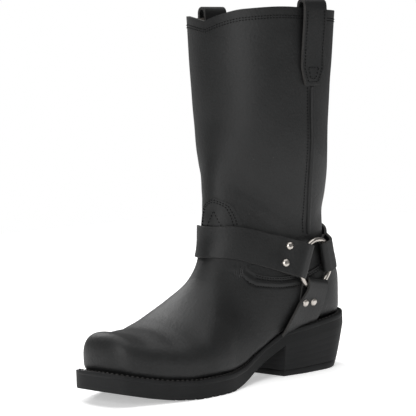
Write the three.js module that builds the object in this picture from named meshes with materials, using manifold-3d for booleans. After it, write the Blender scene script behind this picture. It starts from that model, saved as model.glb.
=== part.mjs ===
// Harness boot, left foot: millimetres, +Z up, toe towards -Y, outer side towards +X.
// The origin is the centre of the heel's flat bottom, on the floor.
import * as THREE from 'three';
import { mergeVertices } from 'three/addons/utils/BufferGeometryUtils.js';
import Module from 'manifold-3d';

const wasm = await Module();
wasm.setup();

// Driving sizes: sole and heel
const soleLength = 297;
const ballWidth = 110;
const heelWidth = 79;
const heelBottomLength = 84;
const heelRake = 12.5;
const heelBreastHeight = 28.5;
const heelBackHeight = 40;
const heelBottomShare = 0.89;
const liftThickness = 7;
const foreEdgeThickness = 16.5;
const rearEdgeThickness = 13.5;
const toeSpring = 13.5;
const weltThickness = 4.2;
const weltWidth = 13;
const toeMargin = 8;
const sideMargin = 6;
const seatMargin = 5.5;
const treadDepth = 1.6;
const treadPitch = 9;
const treadGroove = 3;
const treadExtra = 4;

// Driving sizes: upper
const wall = 2.4;
const vampStep = 1.4;
const instepHeight = 90;
const bellyHeight = 12;
const rimHeight = 334;
const rimDip = 11;
const rimDipHalfWidth = 36;
const collarLength = 146;
const collarWidth = 126;
const shaftCentre = -27;
const insoleThickness = 3;

// Driving sizes: harness and pull loops
const strapThickness = 2.6;
const foldLayer = 1.9;
const ringRadius = 24.4;
const ringWire = 4.4;
const ringLean = 6;
const ringTurn = 4;
const rivetRadius = 3.6;
const rivetHeight = 1.9;
const seamWidth = 4.2;
const seamHeight = 2;
const loopWidth = 27.5;
const loopEndWidth = 18.5;
const loopRise = 9.5;
const loopLength = 68;
const loopTaper = 15;
const loopInside = 38;
const loopSlack = 2.6;

// Driving sizes: fit
const gap = 0.3;

// Mesh fineness
const aroundSteps = 34;
const outlineSteps = 54;
const ringSteps = 24;
const rivetSteps = 8;
const shankSteps = 9;
const springSteps = 9;
const dipSteps = 6;
const loopSteps = 5;
const archSteps = 6;
const settleSteps = 4;

// Where the sole starts and ends
const soleBack = heelBottomLength / 2 + heelRake;
const heelBreast = -heelBottomLength / 2;
const placeY = (share) => soleBack - share * soleLength;
const shareOf = (y) => (soleBack - y) / soleLength;
const reach = 2 * soleLength;

// A smooth run through the rows of a table, read by one of its columns
const runThrough = (rows, key, column, at) => {
  const last = rows.length - 1;
  let i = 0;
  while (i < last - 1 && at > rows[i + 1][key]) {
    i += 1;
  }
  const span = rows[i + 1][key] - rows[i][key];
  const t = THREE.MathUtils.clamp((at - rows[i][key]) / span, 0, 1);
  const rise = rows[i + 1][column] - rows[i][column];
  const slopeAt = (k) => {
    if (k === 0 || k === last) {
      return rise;
    }
    const before = (rows[k][column] - rows[k - 1][column]) / (rows[k][key] - rows[k - 1][key]);
    const after = (rows[k + 1][column] - rows[k][column]) / (rows[k + 1][key] - rows[k][key]);
    return before * after <= 0 ? 0 : span * 2 * before * after / (before + after);
  };
  const h00 = 2 * t ** 3 - 3 * t ** 2 + 1;
  const h10 = t ** 3 - 2 * t ** 2 + t;
  const h01 = 3 * t ** 2 - 2 * t ** 3;
  const h11 = t ** 3 - t ** 2;
  return h00 * rows[i][column] + h10 * slopeAt(i) + h01 * rows[i + 1][column] + h11 * slopeAt(i + 1);
};

// Rounding of an end: 0 at the tip and 1 where the round stretch ends
const endRound = (share, power) => {
  const t = THREE.MathUtils.clamp(share, 0, 1);
  return (1 - (1 - t) ** power) ** (1 / power);
};

// Sole outline: station from heel back to toe tip, then the half width as shares of
// the ball width and the heel width, and the swing of the middle line to the outer side
const soleRows = [
  { at: 0.00, ofBall: 0.000, ofHeel: 0.495, swing: 0.000 },
  { at: 0.12, ofBall: 0.000, ofHeel: 0.500, swing: 0.002 },
  { at: 0.22, ofBall: 0.000, ofHeel: 0.490, swing: 0.002 },
  { at: 0.33, ofBall: 0.120, ofHeel: 0.257, swing: 0.002 },
  { at: 0.42, ofBall: 0.200, ofHeel: 0.120, swing: 0.005 },
  { at: 0.50, ofBall: 0.290, ofHeel: 0.061, swing: 0.006 },
  { at: 0.58, ofBall: 0.416, ofHeel: 0.000, swing: 0.003 },
  { at: 0.66, ofBall: 0.482, ofHeel: 0.000, swing: -0.003 },
  { at: 0.73, ofBall: 0.495, ofHeel: 0.000, swing: -0.009 },
  { at: 0.80, ofBall: 0.464, ofHeel: 0.000, swing: -0.014 },
  { at: 0.87, ofBall: 0.402, ofHeel: 0.000, swing: -0.018 },
  { at: 0.94, ofBall: 0.324, ofHeel: 0.000, swing: -0.018 },
  { at: 1.00, ofBall: 0.270, ofHeel: 0.000, swing: -0.016 },
];
const heelRoundDepth = 0.49 * heelWidth;
const toeRoundDepth = 16;
const heelRoundPower = 2.1;
const toeRoundPower = 2.6;

const soleSwing = (share) => soleLength * runThrough(soleRows, 'at', 'swing', share);
const soleHalf = (share) => ballWidth * runThrough(soleRows, 'at', 'ofBall', share)
  + heelWidth * runThrough(soleRows, 'at', 'ofHeel', share);
const soleEnds = (share) => endRound(share * soleLength / heelRoundDepth, heelRoundPower)
  * endRound((1 - share) * soleLength / toeRoundDepth, toeRoundPower);

// Height of the sole's underside along the boot: the arch as shares of the way from the
// heel's breast to where the forefoot lies flat, and the toe spring from there to the tip
const flatStart = 0.595;
const flatEnd = 0.75;
const breastShare = shareOf(heelBreast);
const shankRows = [
  { along: 0.000, ofBreast: 1.00 },
  { along: 0.241, ofBreast: 0.70 },
  { along: 0.500, ofBreast: 0.39 },
  { along: 0.759, ofBreast: 0.12 },
  { along: 1.000, ofBreast: 0.00 },
];
const springRows = [
  { along: 0.00, ofSpring: 0.00 },
  { along: 0.28, ofSpring: 0.13 },
  { along: 0.56, ofSpring: 0.40 },
  { along: 0.80, ofSpring: 0.72 },
  { along: 1.00, ofSpring: 1.00 },
];
const edgeRows = [
  { at: 0, thick: rearEdgeThickness },
  { at: 0.45, thick: rearEdgeThickness },
  { at: 0.62, thick: foreEdgeThickness },
  { at: 1, thick: foreEdgeThickness },
];
const underside = (share) => {
  if (share <= breastShare) {
    return THREE.MathUtils.lerp(heelBackHeight, heelBreastHeight, share / breastShare);
  }
  if (share < flatStart) {
    const along = (share - breastShare) / (flatStart - breastShare);
    return heelBreastHeight * runThrough(shankRows, 'along', 'ofBreast', along);
  }
  const along = (share - flatEnd) / (1 - flatEnd);
  return along <= 0 ? 0 : toeSpring * runThrough(springRows, 'along', 'ofSpring', along);
};
const weltTop = (share) => underside(share) + runThrough(edgeRows, 'at', 'thick', share);

// How far the upper stands in from the sole's edge
const marginRows = [
  { at: 0, margin: seatMargin },
  { at: 0.3, margin: seatMargin },
  { at: 0.5, margin: seatMargin },
  { at: 0.66, margin: sideMargin },
  { at: 0.9, margin: toeMargin },
  { at: 1, margin: toeMargin },
];
const marginAt = (share) => runThrough(marginRows, 'at', 'margin', share);

// Solids from geometries and back
const solidOf = (geometry) => {
  const plain = geometry.clone();
  plain.deleteAttribute('normal');
  plain.deleteAttribute('uv');
  const merged = mergeVertices(plain, 1e-4);
  let indices = Array.from(merged.index.array);
  const kept = [];
  for (let i = 0; i < indices.length; i += 3) {
    const [a, b, c] = indices.slice(i, i + 3);
    if (a !== b && b !== c && c !== a) {
      kept.push(a, b, c);
    }
  }
  indices = kept;
  const p = merged.attributes.position.array;
  let volume = 0;
  const corner = (k) => new THREE.Vector3(p[3 * k], p[3 * k + 1], p[3 * k + 2]);
  for (let i = 0; i < indices.length; i += 3) {
    volume += corner(indices[i]).dot(corner(indices[i + 1]).cross(corner(indices[i + 2])));
  }
  if (volume < 0) {
    indices.reverse();
  }
  return new wasm.Manifold(new wasm.Mesh({
    numProp: 3,
    vertProperties: new Float32Array(p),
    triVerts: new Uint32Array(indices),
  }));
};
const geometryOf = (solid) => {
  const mesh = solid.getMesh();
  const geometry = new THREE.BufferGeometry();
  geometry.setAttribute('position', new THREE.BufferAttribute(mesh.vertProperties, 3));
  geometry.setIndex(new THREE.BufferAttribute(mesh.triVerts, 1));
  geometry.computeVertexNormals();
  return geometry;
};

// A drum with its skin and ends moved to the places that a function gives
const shapedDrum = (around, rows, place) => {
  const drum = new THREE.CylinderGeometry(1, 1, 1, around, rows);
  const position = drum.attributes.position;
  for (let i = 0; i < position.count; i += 1) {
    const turn = Math.atan2(position.getX(i), position.getZ(i));
    const row = Math.round((position.getY(i) + 0.5) * rows);
    const middle = Math.hypot(position.getX(i), position.getZ(i)) < 0.5;
    const point = place(turn, row, middle);
    position.setXYZ(i, point.x, point.y, point.z);
  }
  return solidOf(drum);
};

// Prisms: a side outline (y, z) carried across x, a plan outline (x, y) carried up z and
// a front outline (x, z) carried along y
const sidePrism = (points, fromX, toX) => {
  const shape = new THREE.Shape(points.map(([y, z]) => new THREE.Vector2(y, z)));
  const prism = new THREE.ExtrudeGeometry(shape, { depth: toX - fromX, steps: 1, bevelEnabled: false });
  prism.rotateY(Math.PI / 2);
  prism.rotateX(Math.PI / 2);
  prism.translate(fromX, 0, 0);
  return solidOf(prism);
};
const planPrism = (points, fromZ, toZ) => {
  const shape = new THREE.Shape(points.map(([x, y]) => new THREE.Vector2(x, y)));
  const prism = new THREE.ExtrudeGeometry(shape, { depth: toZ - fromZ, steps: 1, bevelEnabled: false });
  prism.translate(0, 0, fromZ);
  return solidOf(prism);
};
const frontPrism = (points, fromY, toY) => {
  const shape = new THREE.Shape(points.map(([x, z]) => new THREE.Vector2(x, z)));
  const prism = new THREE.ExtrudeGeometry(shape, { depth: toY - fromY, steps: 1, bevelEnabled: false });
  prism.rotateX(Math.PI / 2);
  prism.translate(0, toY, 0);
  return solidOf(prism);
};
const slab = (fromZ, toZ) => planPrism(
  [[-reach, -reach], [reach, -reach], [reach, reach], [-reach, reach]], fromZ, toZ);

// Plan outline of the sole, drawn in by a margin
const soleEdgePoint = (turn) => {
  const share = (1 - Math.cos(turn)) / 2;
  const side = turn <= Math.PI ? 1 : -1;
  return [soleSwing(share) + side * soleHalf(share) * soleEnds(share), placeY(share)];
};
const soleOutline = (inset, steps = outlineSteps) => {
  const points = [];
  const small = 1e-3;
  for (let i = 0; i < steps; i += 1) {
    const turn = 2 * Math.PI * (i + 0.5) / steps;
    const [x, y] = soleEdgePoint(turn);
    const [x0, y0] = soleEdgePoint(turn - small);
    const [x1, y1] = soleEdgePoint(turn + small);
    const length = Math.hypot(x1 - x0, y1 - y0);
    const draw = inset(shareOf(y));
    points.push([x + draw * (y1 - y0) / length, y - draw * (x1 - x0) / length]);
  }
  return points;
};

// Stations along the sole for its side profile, from behind the heel to ahead of the toe
const ends = 0.02;
const steppedShares = (from, to, steps) => Array.from(
  { length: steps }, (_, i) => THREE.MathUtils.lerp(from, to, (i + 1) / steps));
const profileShares = [
  -ends, 0, breastShare, ...steppedShares(breastShare, flatStart, shankSteps),
  flatStart + ends, flatEnd, ...steppedShares(flatEnd, 1, springSteps), 1 + ends,
];
const clampShare = (share) => THREE.MathUtils.clamp(share, 0, 1);
const band = (low, high) => {
  const lower = profileShares.map((share) => [placeY(share), low(clampShare(share))]);
  const upper = profileShares.map((share) => [placeY(share), high(clampShare(share))]);
  return sidePrism([...lower, ...upper.reverse()], -reach / 2, reach / 2);
};
const soleTop = (share) => weltTop(share) - weltThickness - gap;

// Outsole: plate, raised middle inside the welt, and tread grooves across the forefoot
const sunk = 1;
const makeOutsole = () => {
  const plate = band(underside, soleTop).intersect(planPrism(soleOutline(() => 0), -reach, reach));
  const middle = band((share) => soleTop(share) - sunk, weltTop)
    .intersect(planPrism(soleOutline(() => weltWidth + gap), -reach, reach));
  let sole = plate.add(middle);
  const grooves = Math.floor((flatEnd - flatStart) * soleLength / treadPitch) + treadExtra;
  const groove = new THREE.BoxGeometry(2 * ballWidth, treadGroove, 2 * treadDepth);
  for (let i = 0; i < grooves; i += 1) {
    const y = placeY(flatStart) - (i - 0.5) * treadPitch;
    const z = underside(shareOf(y));
    const ahead = underside(shareOf(y - treadGroove));
    const cutter = groove.clone();
    cutter.rotateX(Math.atan2(z - ahead, treadGroove));
    cutter.translate(0, y, z);
    sole = sole.subtract(solidOf(cutter));
  }
  return sole;
};

// Welt: a flat ring all the way round, on the outsole and outside its raised middle
const makeWelt = () => {
  const ring = planPrism(soleOutline(() => 0), -reach, reach)
    .subtract(planPrism(soleOutline(() => weltWidth), -reach, reach));
  return band((share) => weltTop(share) - weltThickness, weltTop).intersect(ring);
};

// Heel: the seat's outline drawn in towards the floor, as one form cut into lift and block
const heelFlare = 0.8;
const heelLayers = 3;
const heelForm = () => {
  const seat = soleOutline(() => 0).filter(([, y]) => y > heelBreast + sunk);
  const outerSide = seat.filter(([x]) => x > 0);
  const innerSide = seat.filter(([x]) => x <= 0);
  const breastCorner = (side) => [soleSwing(breastShare) + side * soleHalf(breastShare), heelBreast];
  const outline = [breastCorner(-1), ...innerSide, ...outerSide, breastCorner(1)];
  const shape = new THREE.Shape(outline.map(([x, y]) => new THREE.Vector2(x, y)));
  const form = new THREE.ExtrudeGeometry(shape, { depth: 1, steps: heelLayers, bevelEnabled: false });
  const position = form.attributes.position;
  for (let i = 0; i < position.count; i += 1) {
    const rise = position.getZ(i);
    const spread = rise ** heelFlare;
    const y = position.getY(i);
    const back = (y - heelBreast) / (soleBack - heelBreast);
    const topZ = underside(shareOf(y)) - gap;
    const lowY = heelBreast + back * heelBottomLength;
    position.setXYZ(
      i,
      position.getX(i) * THREE.MathUtils.lerp(heelBottomShare, 1, spread),
      THREE.MathUtils.lerp(lowY, y, spread),
      topZ * rise,
    );
  }
  return solidOf(form);
};

// Upper: sections that stand upright at the toe, lean through the heel and lie flat in
// the shaft. Foot rows: where the ridge and the feather edge are along the sole, the
// ridge's height over the welt in instep heights, its lean to the inner side in ball
// widths, the swell over the feather edge, and the roundness of crown and floor.
const footRows = [
  { top: 0.924, low: 0.924, rise: 0.388, lean: 0.000, swell: 0.010, crown: 2.30, floor: 3.0 },
  { top: 0.867, low: 0.872, rise: 0.388, lean: 0.008, swell: 0.014, crown: 2.15, floor: 3.0 },
  { top: 0.806, low: 0.815, rise: 0.420, lean: 0.022, swell: 0.018, crown: 2.08, floor: 3.0 },
  { top: 0.742, low: 0.752, rise: 0.506, lean: 0.036, swell: 0.018, crown: 2.05, floor: 3.0 },
  { top: 0.682, low: 0.688, rise: 0.608, lean: 0.048, swell: 0.016, crown: 2.00, floor: 3.0 },
  { top: 0.625, low: 0.610, rise: 0.735, lean: 0.050, swell: 0.020, crown: 2.00, floor: 3.0 },
  { top: 0.579, low: 0.520, rise: 0.868, lean: 0.042, swell: 0.034, crown: 1.95, floor: 3.0 },
];
// Throat rows: the front in half collar lengths ahead of the shaft's middle and in shaft
// heights over the seat, the feather edge still under the foot, and where the section
// is widest as a share from there to the front.
const throatRows = [
  { ahead: 1.110, up: 0.201, low: 0.420, wide: 0.25, lean: 0.034, swell: 0.050, crown: 1.92, floor: 2.8 },
  { ahead: 1.042, up: 0.246, low: 0.315, wide: 0.30, lean: 0.026, swell: 0.050, crown: 1.92, floor: 2.6 },
  { ahead: 1.012, up: 0.294, low: 0.210, wide: 0.32, lean: 0.018, swell: 0.030, crown: 1.95, floor: 2.5 },
  { ahead: 1.010, up: 0.340, low: 0.110, wide: 0.33, lean: 0.012, swell: 0.042, crown: 1.95, floor: 2.4 },
  { ahead: 1.008, up: 0.383, low: 0.030, wide: 0.33, lean: 0.008, swell: 0.052, crown: 2.00, floor: 2.3 },
];
// Shaft rows: front and back in half collar lengths from the shaft's middle and in shaft
// heights over the seat, and the half width in half collar widths.
const shaftRows = [
  { ahead: 1.003, up: 0.422, behind: 1.055, backUp: 0.023, half: 0.622, wide: 0.34, floor: 2.20 },
  { ahead: 0.995, up: 0.462, behind: 1.073, backUp: 0.080, half: 0.642, wide: 0.37, floor: 2.10 },
  { ahead: 0.984, up: 0.504, behind: 0.950, backUp: 0.144, half: 0.650, wide: 0.40, floor: 2.05 },
  { ahead: 0.972, up: 0.551, behind: 0.815, backUp: 0.216, half: 0.705, wide: 0.44, floor: 2.00 },
  { ahead: 0.962, up: 0.604, behind: 0.785, backUp: 0.294, half: 0.772, wide: 0.47, floor: 2.00 },
  { ahead: 0.955, up: 0.661, behind: 0.828, backUp: 0.380, half: 0.845, wide: 0.50, floor: 2.00 },
  { ahead: 0.960, up: 0.722, behind: 0.870, backUp: 0.476, half: 0.900, wide: 0.50, floor: 2.00 },
  { ahead: 0.966, up: 0.790, behind: 0.886, backUp: 0.586, half: 0.924, wide: 0.50, floor: 2.00 },
  { ahead: 0.971, up: 0.865, behind: 0.922, backUp: 0.708, half: 0.957, wide: 0.50, floor: 2.00 },
  { ahead: 0.973, up: 0.947, behind: 0.970, backUp: 0.843, half: 0.984, wide: 0.50, floor: 2.00 },
  { ahead: 0.975, up: 1.057, behind: 1.055, backUp: 1.057, half: 1.029, wide: 0.50, floor: 2.00 },
];
const featherSink = 14;
const capPower = 2.4;
const roundPower = 2;
const seatTop = weltTop(0);
const shaftRise = rimHeight - seatTop;
const shaftPoint = (offset, up) => [
  shaftCentre + offset * collarLength / 2,
  seatTop + up * shaftRise,
];
const footLow = (row) => ({
  lowY: placeY(row.low),
  lowZ: weltTop(row.low) - featherSink,
  half: soleHalf(row.low) - marginAt(row.low) + row.swell * ballWidth,
  centre: soleSwing(row.low),
  lean: row.lean * ballWidth,
});
const sectionOf = (row) => {
  const section = { centre: 0, lean: 0, crown: row.crown ?? roundPower, floor: row.floor };
  if (row.low !== undefined) {
    Object.assign(section, footLow(row));
  } else {
    [section.lowY, section.lowZ] = shaftPoint(row.behind, row.backUp);
    section.half = row.half * collarWidth / 2;
  }
  if (row.top !== undefined) {
    section.topY = placeY(row.top);
    section.topZ = weltTop(row.top) + row.rise * instepHeight;
  } else {
    [section.topY, section.topZ] = shaftPoint(-row.ahead, row.up);
  }
  const tall = Math.hypot(section.topY - section.lowY, section.topZ - section.lowZ);
  section.belly = row.wide === undefined ? featherSink + bellyHeight : row.wide * tall;
  return section;
};
const sectionRows = [...footRows, ...throatRows, ...shaftRows]
  .map((row, i) => ({ row: i + 1, ...sectionOf(row) }));
const lastRow = sectionRows.length;
const sectionKeys = ['topY', 'topZ', 'lowY', 'lowZ', 'half', 'centre', 'lean', 'belly', 'crown', 'floor'];

// One section: rows 0 to 1 are the rounding of the toe, the rest runs through the tables
const sectionAt = (row) => {
  const section = {};
  for (const key of sectionKeys) {
    section[key] = runThrough(sectionRows, 'row', key, Math.max(row, 1));
  }
  if (row < 1) {
    const tip = placeY(1) + toeMargin;
    const way = row * row;
    const size = endRound(way, capPower);
    const y = THREE.MathUtils.lerp(tip, section.topY, way);
    const share = shareOf(y);
    const middle = weltTop(share) + bellyHeight;
    const crownHeight = section.topZ - section.lowZ - section.belly;
    section.topY = y;
    section.lowY = y;
    section.topZ = middle + size * crownHeight;
    section.lowZ = middle - size * section.belly;
    section.belly *= size;
    section.half = size * (soleHalf(share) - toeMargin + footRows[0].swell * ballWidth);
    section.centre = soleSwing(share);
  }
  return section;
};

// A point of the upper's outer skin: turn 0 is the front ridge and half a turn the back,
// positive towards the outer side
const lastPoint = (row, turn) => {
  const s = sectionAt(row);
  const tall = Math.hypot(s.topY - s.lowY, s.topZ - s.lowZ);
  const rise = Math.cos(turn);
  const side = Math.sin(turn);
  const power = rise > 0 ? s.crown : s.floor;
  const reachOut = (Math.abs(side) ** power + Math.abs(rise) ** power) ** (-1 / power);
  const up = reachOut * rise;
  const h = s.belly + up * (rise > 0 ? tall - s.belly : s.belly);
  const lean = s.lean * THREE.MathUtils.smoothstep(up, 0, 1);
  return new THREE.Vector3(
    s.centre + s.half * reachOut * side - lean,
    THREE.MathUtils.lerp(s.lowY, s.topY, h / tall),
    THREE.MathUtils.lerp(s.lowZ, s.topZ, h / tall),
  );
};
const sectionMiddle = (row) => lastPoint(row, Math.PI / 2).lerp(lastPoint(row, -Math.PI / 2), 0.5);
const skinPoint = (row, turn, offset) => {
  const small = 0.02;
  const point = lastPoint(row, turn);
  const along = lastPoint(Math.min(row + small, lastRow), turn)
    .sub(lastPoint(Math.max(row - small, 0.001), turn));
  const around = lastPoint(row, turn + small).sub(lastPoint(row, turn - small));
  const outward = along.cross(around).normalize();
  if (outward.dot(point.clone().sub(sectionMiddle(row))) < 0) {
    outward.negate();
  }
  return point.addScaledVector(outward, offset);
};

const capStations = [0.12, 0.32, 0.62];
const stations = [...capStations, ...sectionRows.map(({ row }) => row)];

// The whole boot as one closed form, at a distance from the upper's outer skin
const formCache = new Map();
const bootForm = (offset) => {
  if (!formCache.has(offset)) {
    formCache.set(offset, shapedDrum(aroundSteps, stations.length - 1, (turn, count, middle) => {
      if (middle && count > 0) {
        return sectionMiddle(lastRow);
      }
      if (middle) {
        return sectionMiddle(capStations[0]).add(new THREE.Vector3(0, -offset, 0));
      }
      return skinPoint(stations[count], turn, offset);
    }));
  }
  return formCache.get(offset);
};

// What the vamp and counter cover: below their top edge seen from the side, and the
// tongue's peak seen from the front. Stations and half widths are shares of the sole
// length and the ball width, heights are shares of the rim height.
const vampEdge = [
  { at: 1.194, up: 0.335 }, { at: 0.507, up: 0.332 }, { at: 0.476, up: 0.322 },
  { at: 0.449, up: 0.299 }, { at: 0.426, up: 0.281 }, { at: 0.389, up: 0.275 },
  { at: 0.332, up: 0.275 }, { at: 0.251, up: 0.280 }, { at: 0.184, up: 0.296 },
  { at: 0.116, up: 0.318 }, { at: -0.153, up: 0.340 },
];
const tongueFront = 0.39;
const tongueSwing = 0.05;
const tonguePeak = [
  { half: 0.173, up: 0.310 }, { half: 0.136, up: 0.430 }, { half: 0.100, up: 0.479 },
  { half: 0.023, up: 0.502 },
];
const sideOutline = (rows) => rows.map(({ at, up }) => [placeY(at), up * rimHeight]);
const vampCover = () => {
  const edge = sideOutline(vampEdge);
  const low = sidePrism([[edge[0][0], 0], ...edge, [edge[edge.length - 1][0], 0]], -reach, reach);
  const swing = tongueSwing * ballWidth;
  const right = tonguePeak.map(({ half, up }) => [swing + half * ballWidth, up * rimHeight]);
  const left = tonguePeak.map(({ half, up }) => [swing - half * ballWidth, up * rimHeight]);
  return low.add(frontPrism([...right, ...left.reverse()], -reach, placeY(tongueFront)));
};

// Upper: the form less its inside, open over the welt and at the collar
const dipPower = 1.4;
const makeUpper = () => {
  const shell = bootForm(0).add(bootForm(vampStep).intersect(vampCover())).subtract(bootForm(-wall));
  const aboveWelt = band((share) => weltTop(share) + gap, () => reach);
  const dip = [];
  for (let i = -dipSteps; i <= dipSteps; i += 1) {
    const share = Math.abs(i) / dipSteps;
    dip.push([rimDipHalfWidth * i / dipSteps, rimHeight - rimDip * (1 - share) ** dipPower]);
  }
  const belowRim = frontPrism(
    [[-reach, 0], [reach, 0], [reach, rimHeight], ...dip.reverse(), [-reach, rimHeight]],
    -reach, shaftCentre);
  const behind = [[shaftCentre, 0], [reach, 0], [reach, rimHeight], [shaftCentre, rimHeight]];
  const belowRimBehind = sidePrism(behind, -reach, reach);
  return shell.intersect(aboveWelt).intersect(belowRim.add(belowRimBehind));
};

// Insole: a thin sheet on the welt and the outsole's raised middle
const insoleLow = (share) => weltTop(share) + gap;
const insoleTop = (share) => insoleLow(share) + insoleThickness;
const makeInsole = () => band(insoleLow, insoleTop).intersect(bootForm(-wall - gap));

// Where a line level across the boot meets the vamp's outer skin
const bothSides = new THREE.MeshBasicMaterial({ side: THREE.DoubleSide });
const skinMesh = new THREE.Mesh(geometryOf(bootForm(vampStep)), bothSides);
const sideX = (side, y, z) => {
  const from = new THREE.Vector3(side * reach, y, z);
  const hits = new THREE.Raycaster(from, new THREE.Vector3(-side, 0, 0)).intersectObject(skinMesh);
  return hits[0].point.x;
};
const sideSlab = (side) => planPrism(
  [[0, -reach], [side * reach, -reach], [side * reach, reach], [0, reach]], -reach, reach);

// A layer over the boot, cut between two forms by an outline seen from the side
const layerOver = (outline, low, high) => bootForm(high).subtract(bootForm(low))
  .intersect(sidePrism(outline, -reach, reach));
const skinGap = vampStep + gap;
const strapTop = skinGap + strapThickness;

// Where the rings' middles are
const ringAt = 0.221;
const ringUp = 0.308;
const ringY = placeY(ringAt);
const ringHeight = ringUp * rimHeight;

// Rings: one on each side, leaning with the leg and turned in at the back, one strap
// layer off the skin at its middle and nowhere touching it
const ringMean = ringRadius - ringWire / 2;
const ringLevel = gap + strapThickness + gap + ringWire / 2;
const ringFrame = (side) => {
  const lean = THREE.MathUtils.degToRad(ringLean);
  const turn = THREE.MathUtils.degToRad(ringTurn);
  const outward = new THREE.Vector3(
    side * Math.cos(lean) * Math.cos(turn), Math.cos(lean) * Math.sin(turn), -Math.sin(lean));
  const level = new THREE.Vector3(0, 1, 0).cross(outward).cross(outward).normalize().negate();
  const middle = new THREE.Vector3(sideX(side, ringY, ringHeight), ringY, ringHeight);
  let highest = 0;
  for (let i = 0; i < ringSteps; i += 1) {
    const angle = 2 * Math.PI * i / ringSteps;
    const y = ringY + ringMean * Math.cos(angle);
    const z = ringHeight + ringMean * Math.sin(angle);
    highest = Math.max(highest, new THREE.Vector3(sideX(side, y, z), y, z).sub(middle).dot(outward));
  }
  middle.addScaledVector(outward, Math.max(ringLevel, highest + gap + ringWire / 2));
  return new THREE.Matrix4().makeBasis(outward, level, outward.clone().cross(level)).setPosition(middle);
};
const ringFrames = new Map([[1, ringFrame(1)], [-1, ringFrame(-1)]]);
const ringForm = (side, wire) => {
  const section = new THREE.Path();
  section.absarc(ringRadius - ringWire / 2, 0, wire / 2, 0, 2 * Math.PI);
  const form = new THREE.LatheGeometry(section.getPoints(4), ringSteps);
  form.rotateZ(-Math.PI / 2);
  form.applyMatrix4(ringFrames.get(side));
  return solidOf(form);
};

// A strap's end folded round the ring's wire, from its fold inside the ring to where it
// lies on one layer. Heights are over the middle of the wire.
const foldTop = ringWire / 2 + gap + foldLayer;
const foldRise = [
  { out: 0, below: 1.7 }, { out: 0.5, below: 0.6 }, { out: 1.5, below: 0 },
];
const strapEnd = (side, { heading, start, swing, half, length }) => {
  const frame = ringFrames.get(side);
  const toFrame = frame.clone().invert();
  const angle = THREE.MathUtils.degToRad(heading);
  const away = new THREE.Vector3(0, Math.cos(angle), side * Math.sin(angle));
  const across = new THREE.Vector3(0, -Math.sin(angle), side * Math.cos(angle));
  const middle = swing * ringRadius;
  const strapOver = (out) => {
    const place = away.clone().multiplyScalar(out).addScaledVector(across, middle).applyMatrix4(frame);
    const skin = new THREE.Vector3(sideX(side, place.y, place.z), place.y, place.z);
    return skin.applyMatrix4(toFrame).x + gap + strapThickness;
  };
  const fold = start * ringRadius;
  const wireEnd = ringRadius - gap;
  const end = fold + length * ringRadius;
  const top = foldRise.map(({ out, below }) => [fold + out * foldLayer, foldTop - below * foldLayer]);
  top.push([wireEnd, foldTop]);
  for (let i = 1; i <= settleSteps; i += 1) {
    const out = THREE.MathUtils.lerp(wireEnd, end, i / settleSteps);
    const strap = strapOver(out);
    const settled = THREE.MathUtils.smoothstep(i, 0, settleSteps);
    top.push([out, THREE.MathUtils.lerp(Math.max(foldTop, strap), strap + gap, settled)]);
  }
  const deep = Math.min(...top.map(([, height]) => height)) - ringRadius / 2;
  const shape = new THREE.Shape([[fold, deep], ...top, [end, deep]]
    .map(([out, height]) => new THREE.Vector2(out, height)));
  const depth = 2 * half * ringRadius;
  const block = new THREE.ExtrudeGeometry(shape, { depth, steps: 1, bevelEnabled: false });
  block.translate(0, 0, middle - depth / 2);
  block.applyMatrix4(new THREE.Matrix4().makeBasis(away, new THREE.Vector3(1, 0, 0), across));
  block.applyMatrix4(frame);
  return solidOf(block).subtract(bootForm(skinGap));
};

// Harness straps: outlines seen from the side, in shares of the sole length and the rim
// height. Folded ends: the heading from the ring's middle, and the fold's start, swing,
// half width and length in ring radii.
const frontStrap = {
  outline: [
    { at: 0.638, up: 0.425 }, { at: 0.470, up: 0.425 }, { at: 0.416, up: 0.415 },
    { at: 0.352, up: 0.398 }, { at: 0.308, up: 0.383 }, { at: 0.285, up: 0.281 },
    { at: 0.298, up: 0.277 }, { at: 0.372, up: 0.298 }, { at: 0.456, up: 0.326 },
    { at: 0.507, up: 0.338 }, { at: 0.638, up: 0.338 },
  ],
  end: { heading: 161, start: 0.459, swing: 0.061, half: 0.648, length: 1.230 },
};
const backStrap = {
  outline: [
    { at: 0.136, up: 0.275 }, { at: 0.103, up: 0.292 }, { at: 0.069, up: 0.304 },
    { at: -0.086, up: 0.317 }, { at: -0.086, up: 0.410 }, { at: 0.069, up: 0.403 },
    { at: 0.109, up: 0.386 }, { at: 0.143, up: 0.362 },
  ],
  end: { heading: 17, start: 0.430, swing: 0.041, half: 0.582, length: 0.943 },
};
const lowStrap = {
  outline: [
    { at: 0.254, up: 0.240 }, { at: 0.279, up: 0.216 }, { at: 0.308, up: 0.184 },
    { at: 0.343, up: 0.144 }, { at: 0.367, up: 0.090 }, { at: 0.194, up: 0.090 },
    { at: 0.190, up: 0.165 }, { at: 0.173, up: 0.204 }, { at: 0.163, up: 0.240 },
  ],
  end: { heading: -101, start: 0.533, swing: 0.150, half: 0.590, length: 1.107 },
};
const strapRun = ({ outline }) => layerOver(sideOutline(outline), skinGap, strapTop);
const clearOfRings = (strap) => strap
  .subtract(ringForm(1, ringWire + 2 * gap))
  .subtract(ringForm(-1, ringWire + 2 * gap));
const makeStrap = (strap) => clearOfRings(
  strapRun(strap).add(strapEnd(1, strap.end)).add(strapEnd(-1, strap.end)));
const makeLowStrap = (side) => clearOfRings(
  strapRun(lowStrap).intersect(sideSlab(side)).add(strapEnd(side, lowStrap.end)))
  .intersect(band((share) => weltTop(share) + gap, () => reach));

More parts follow.
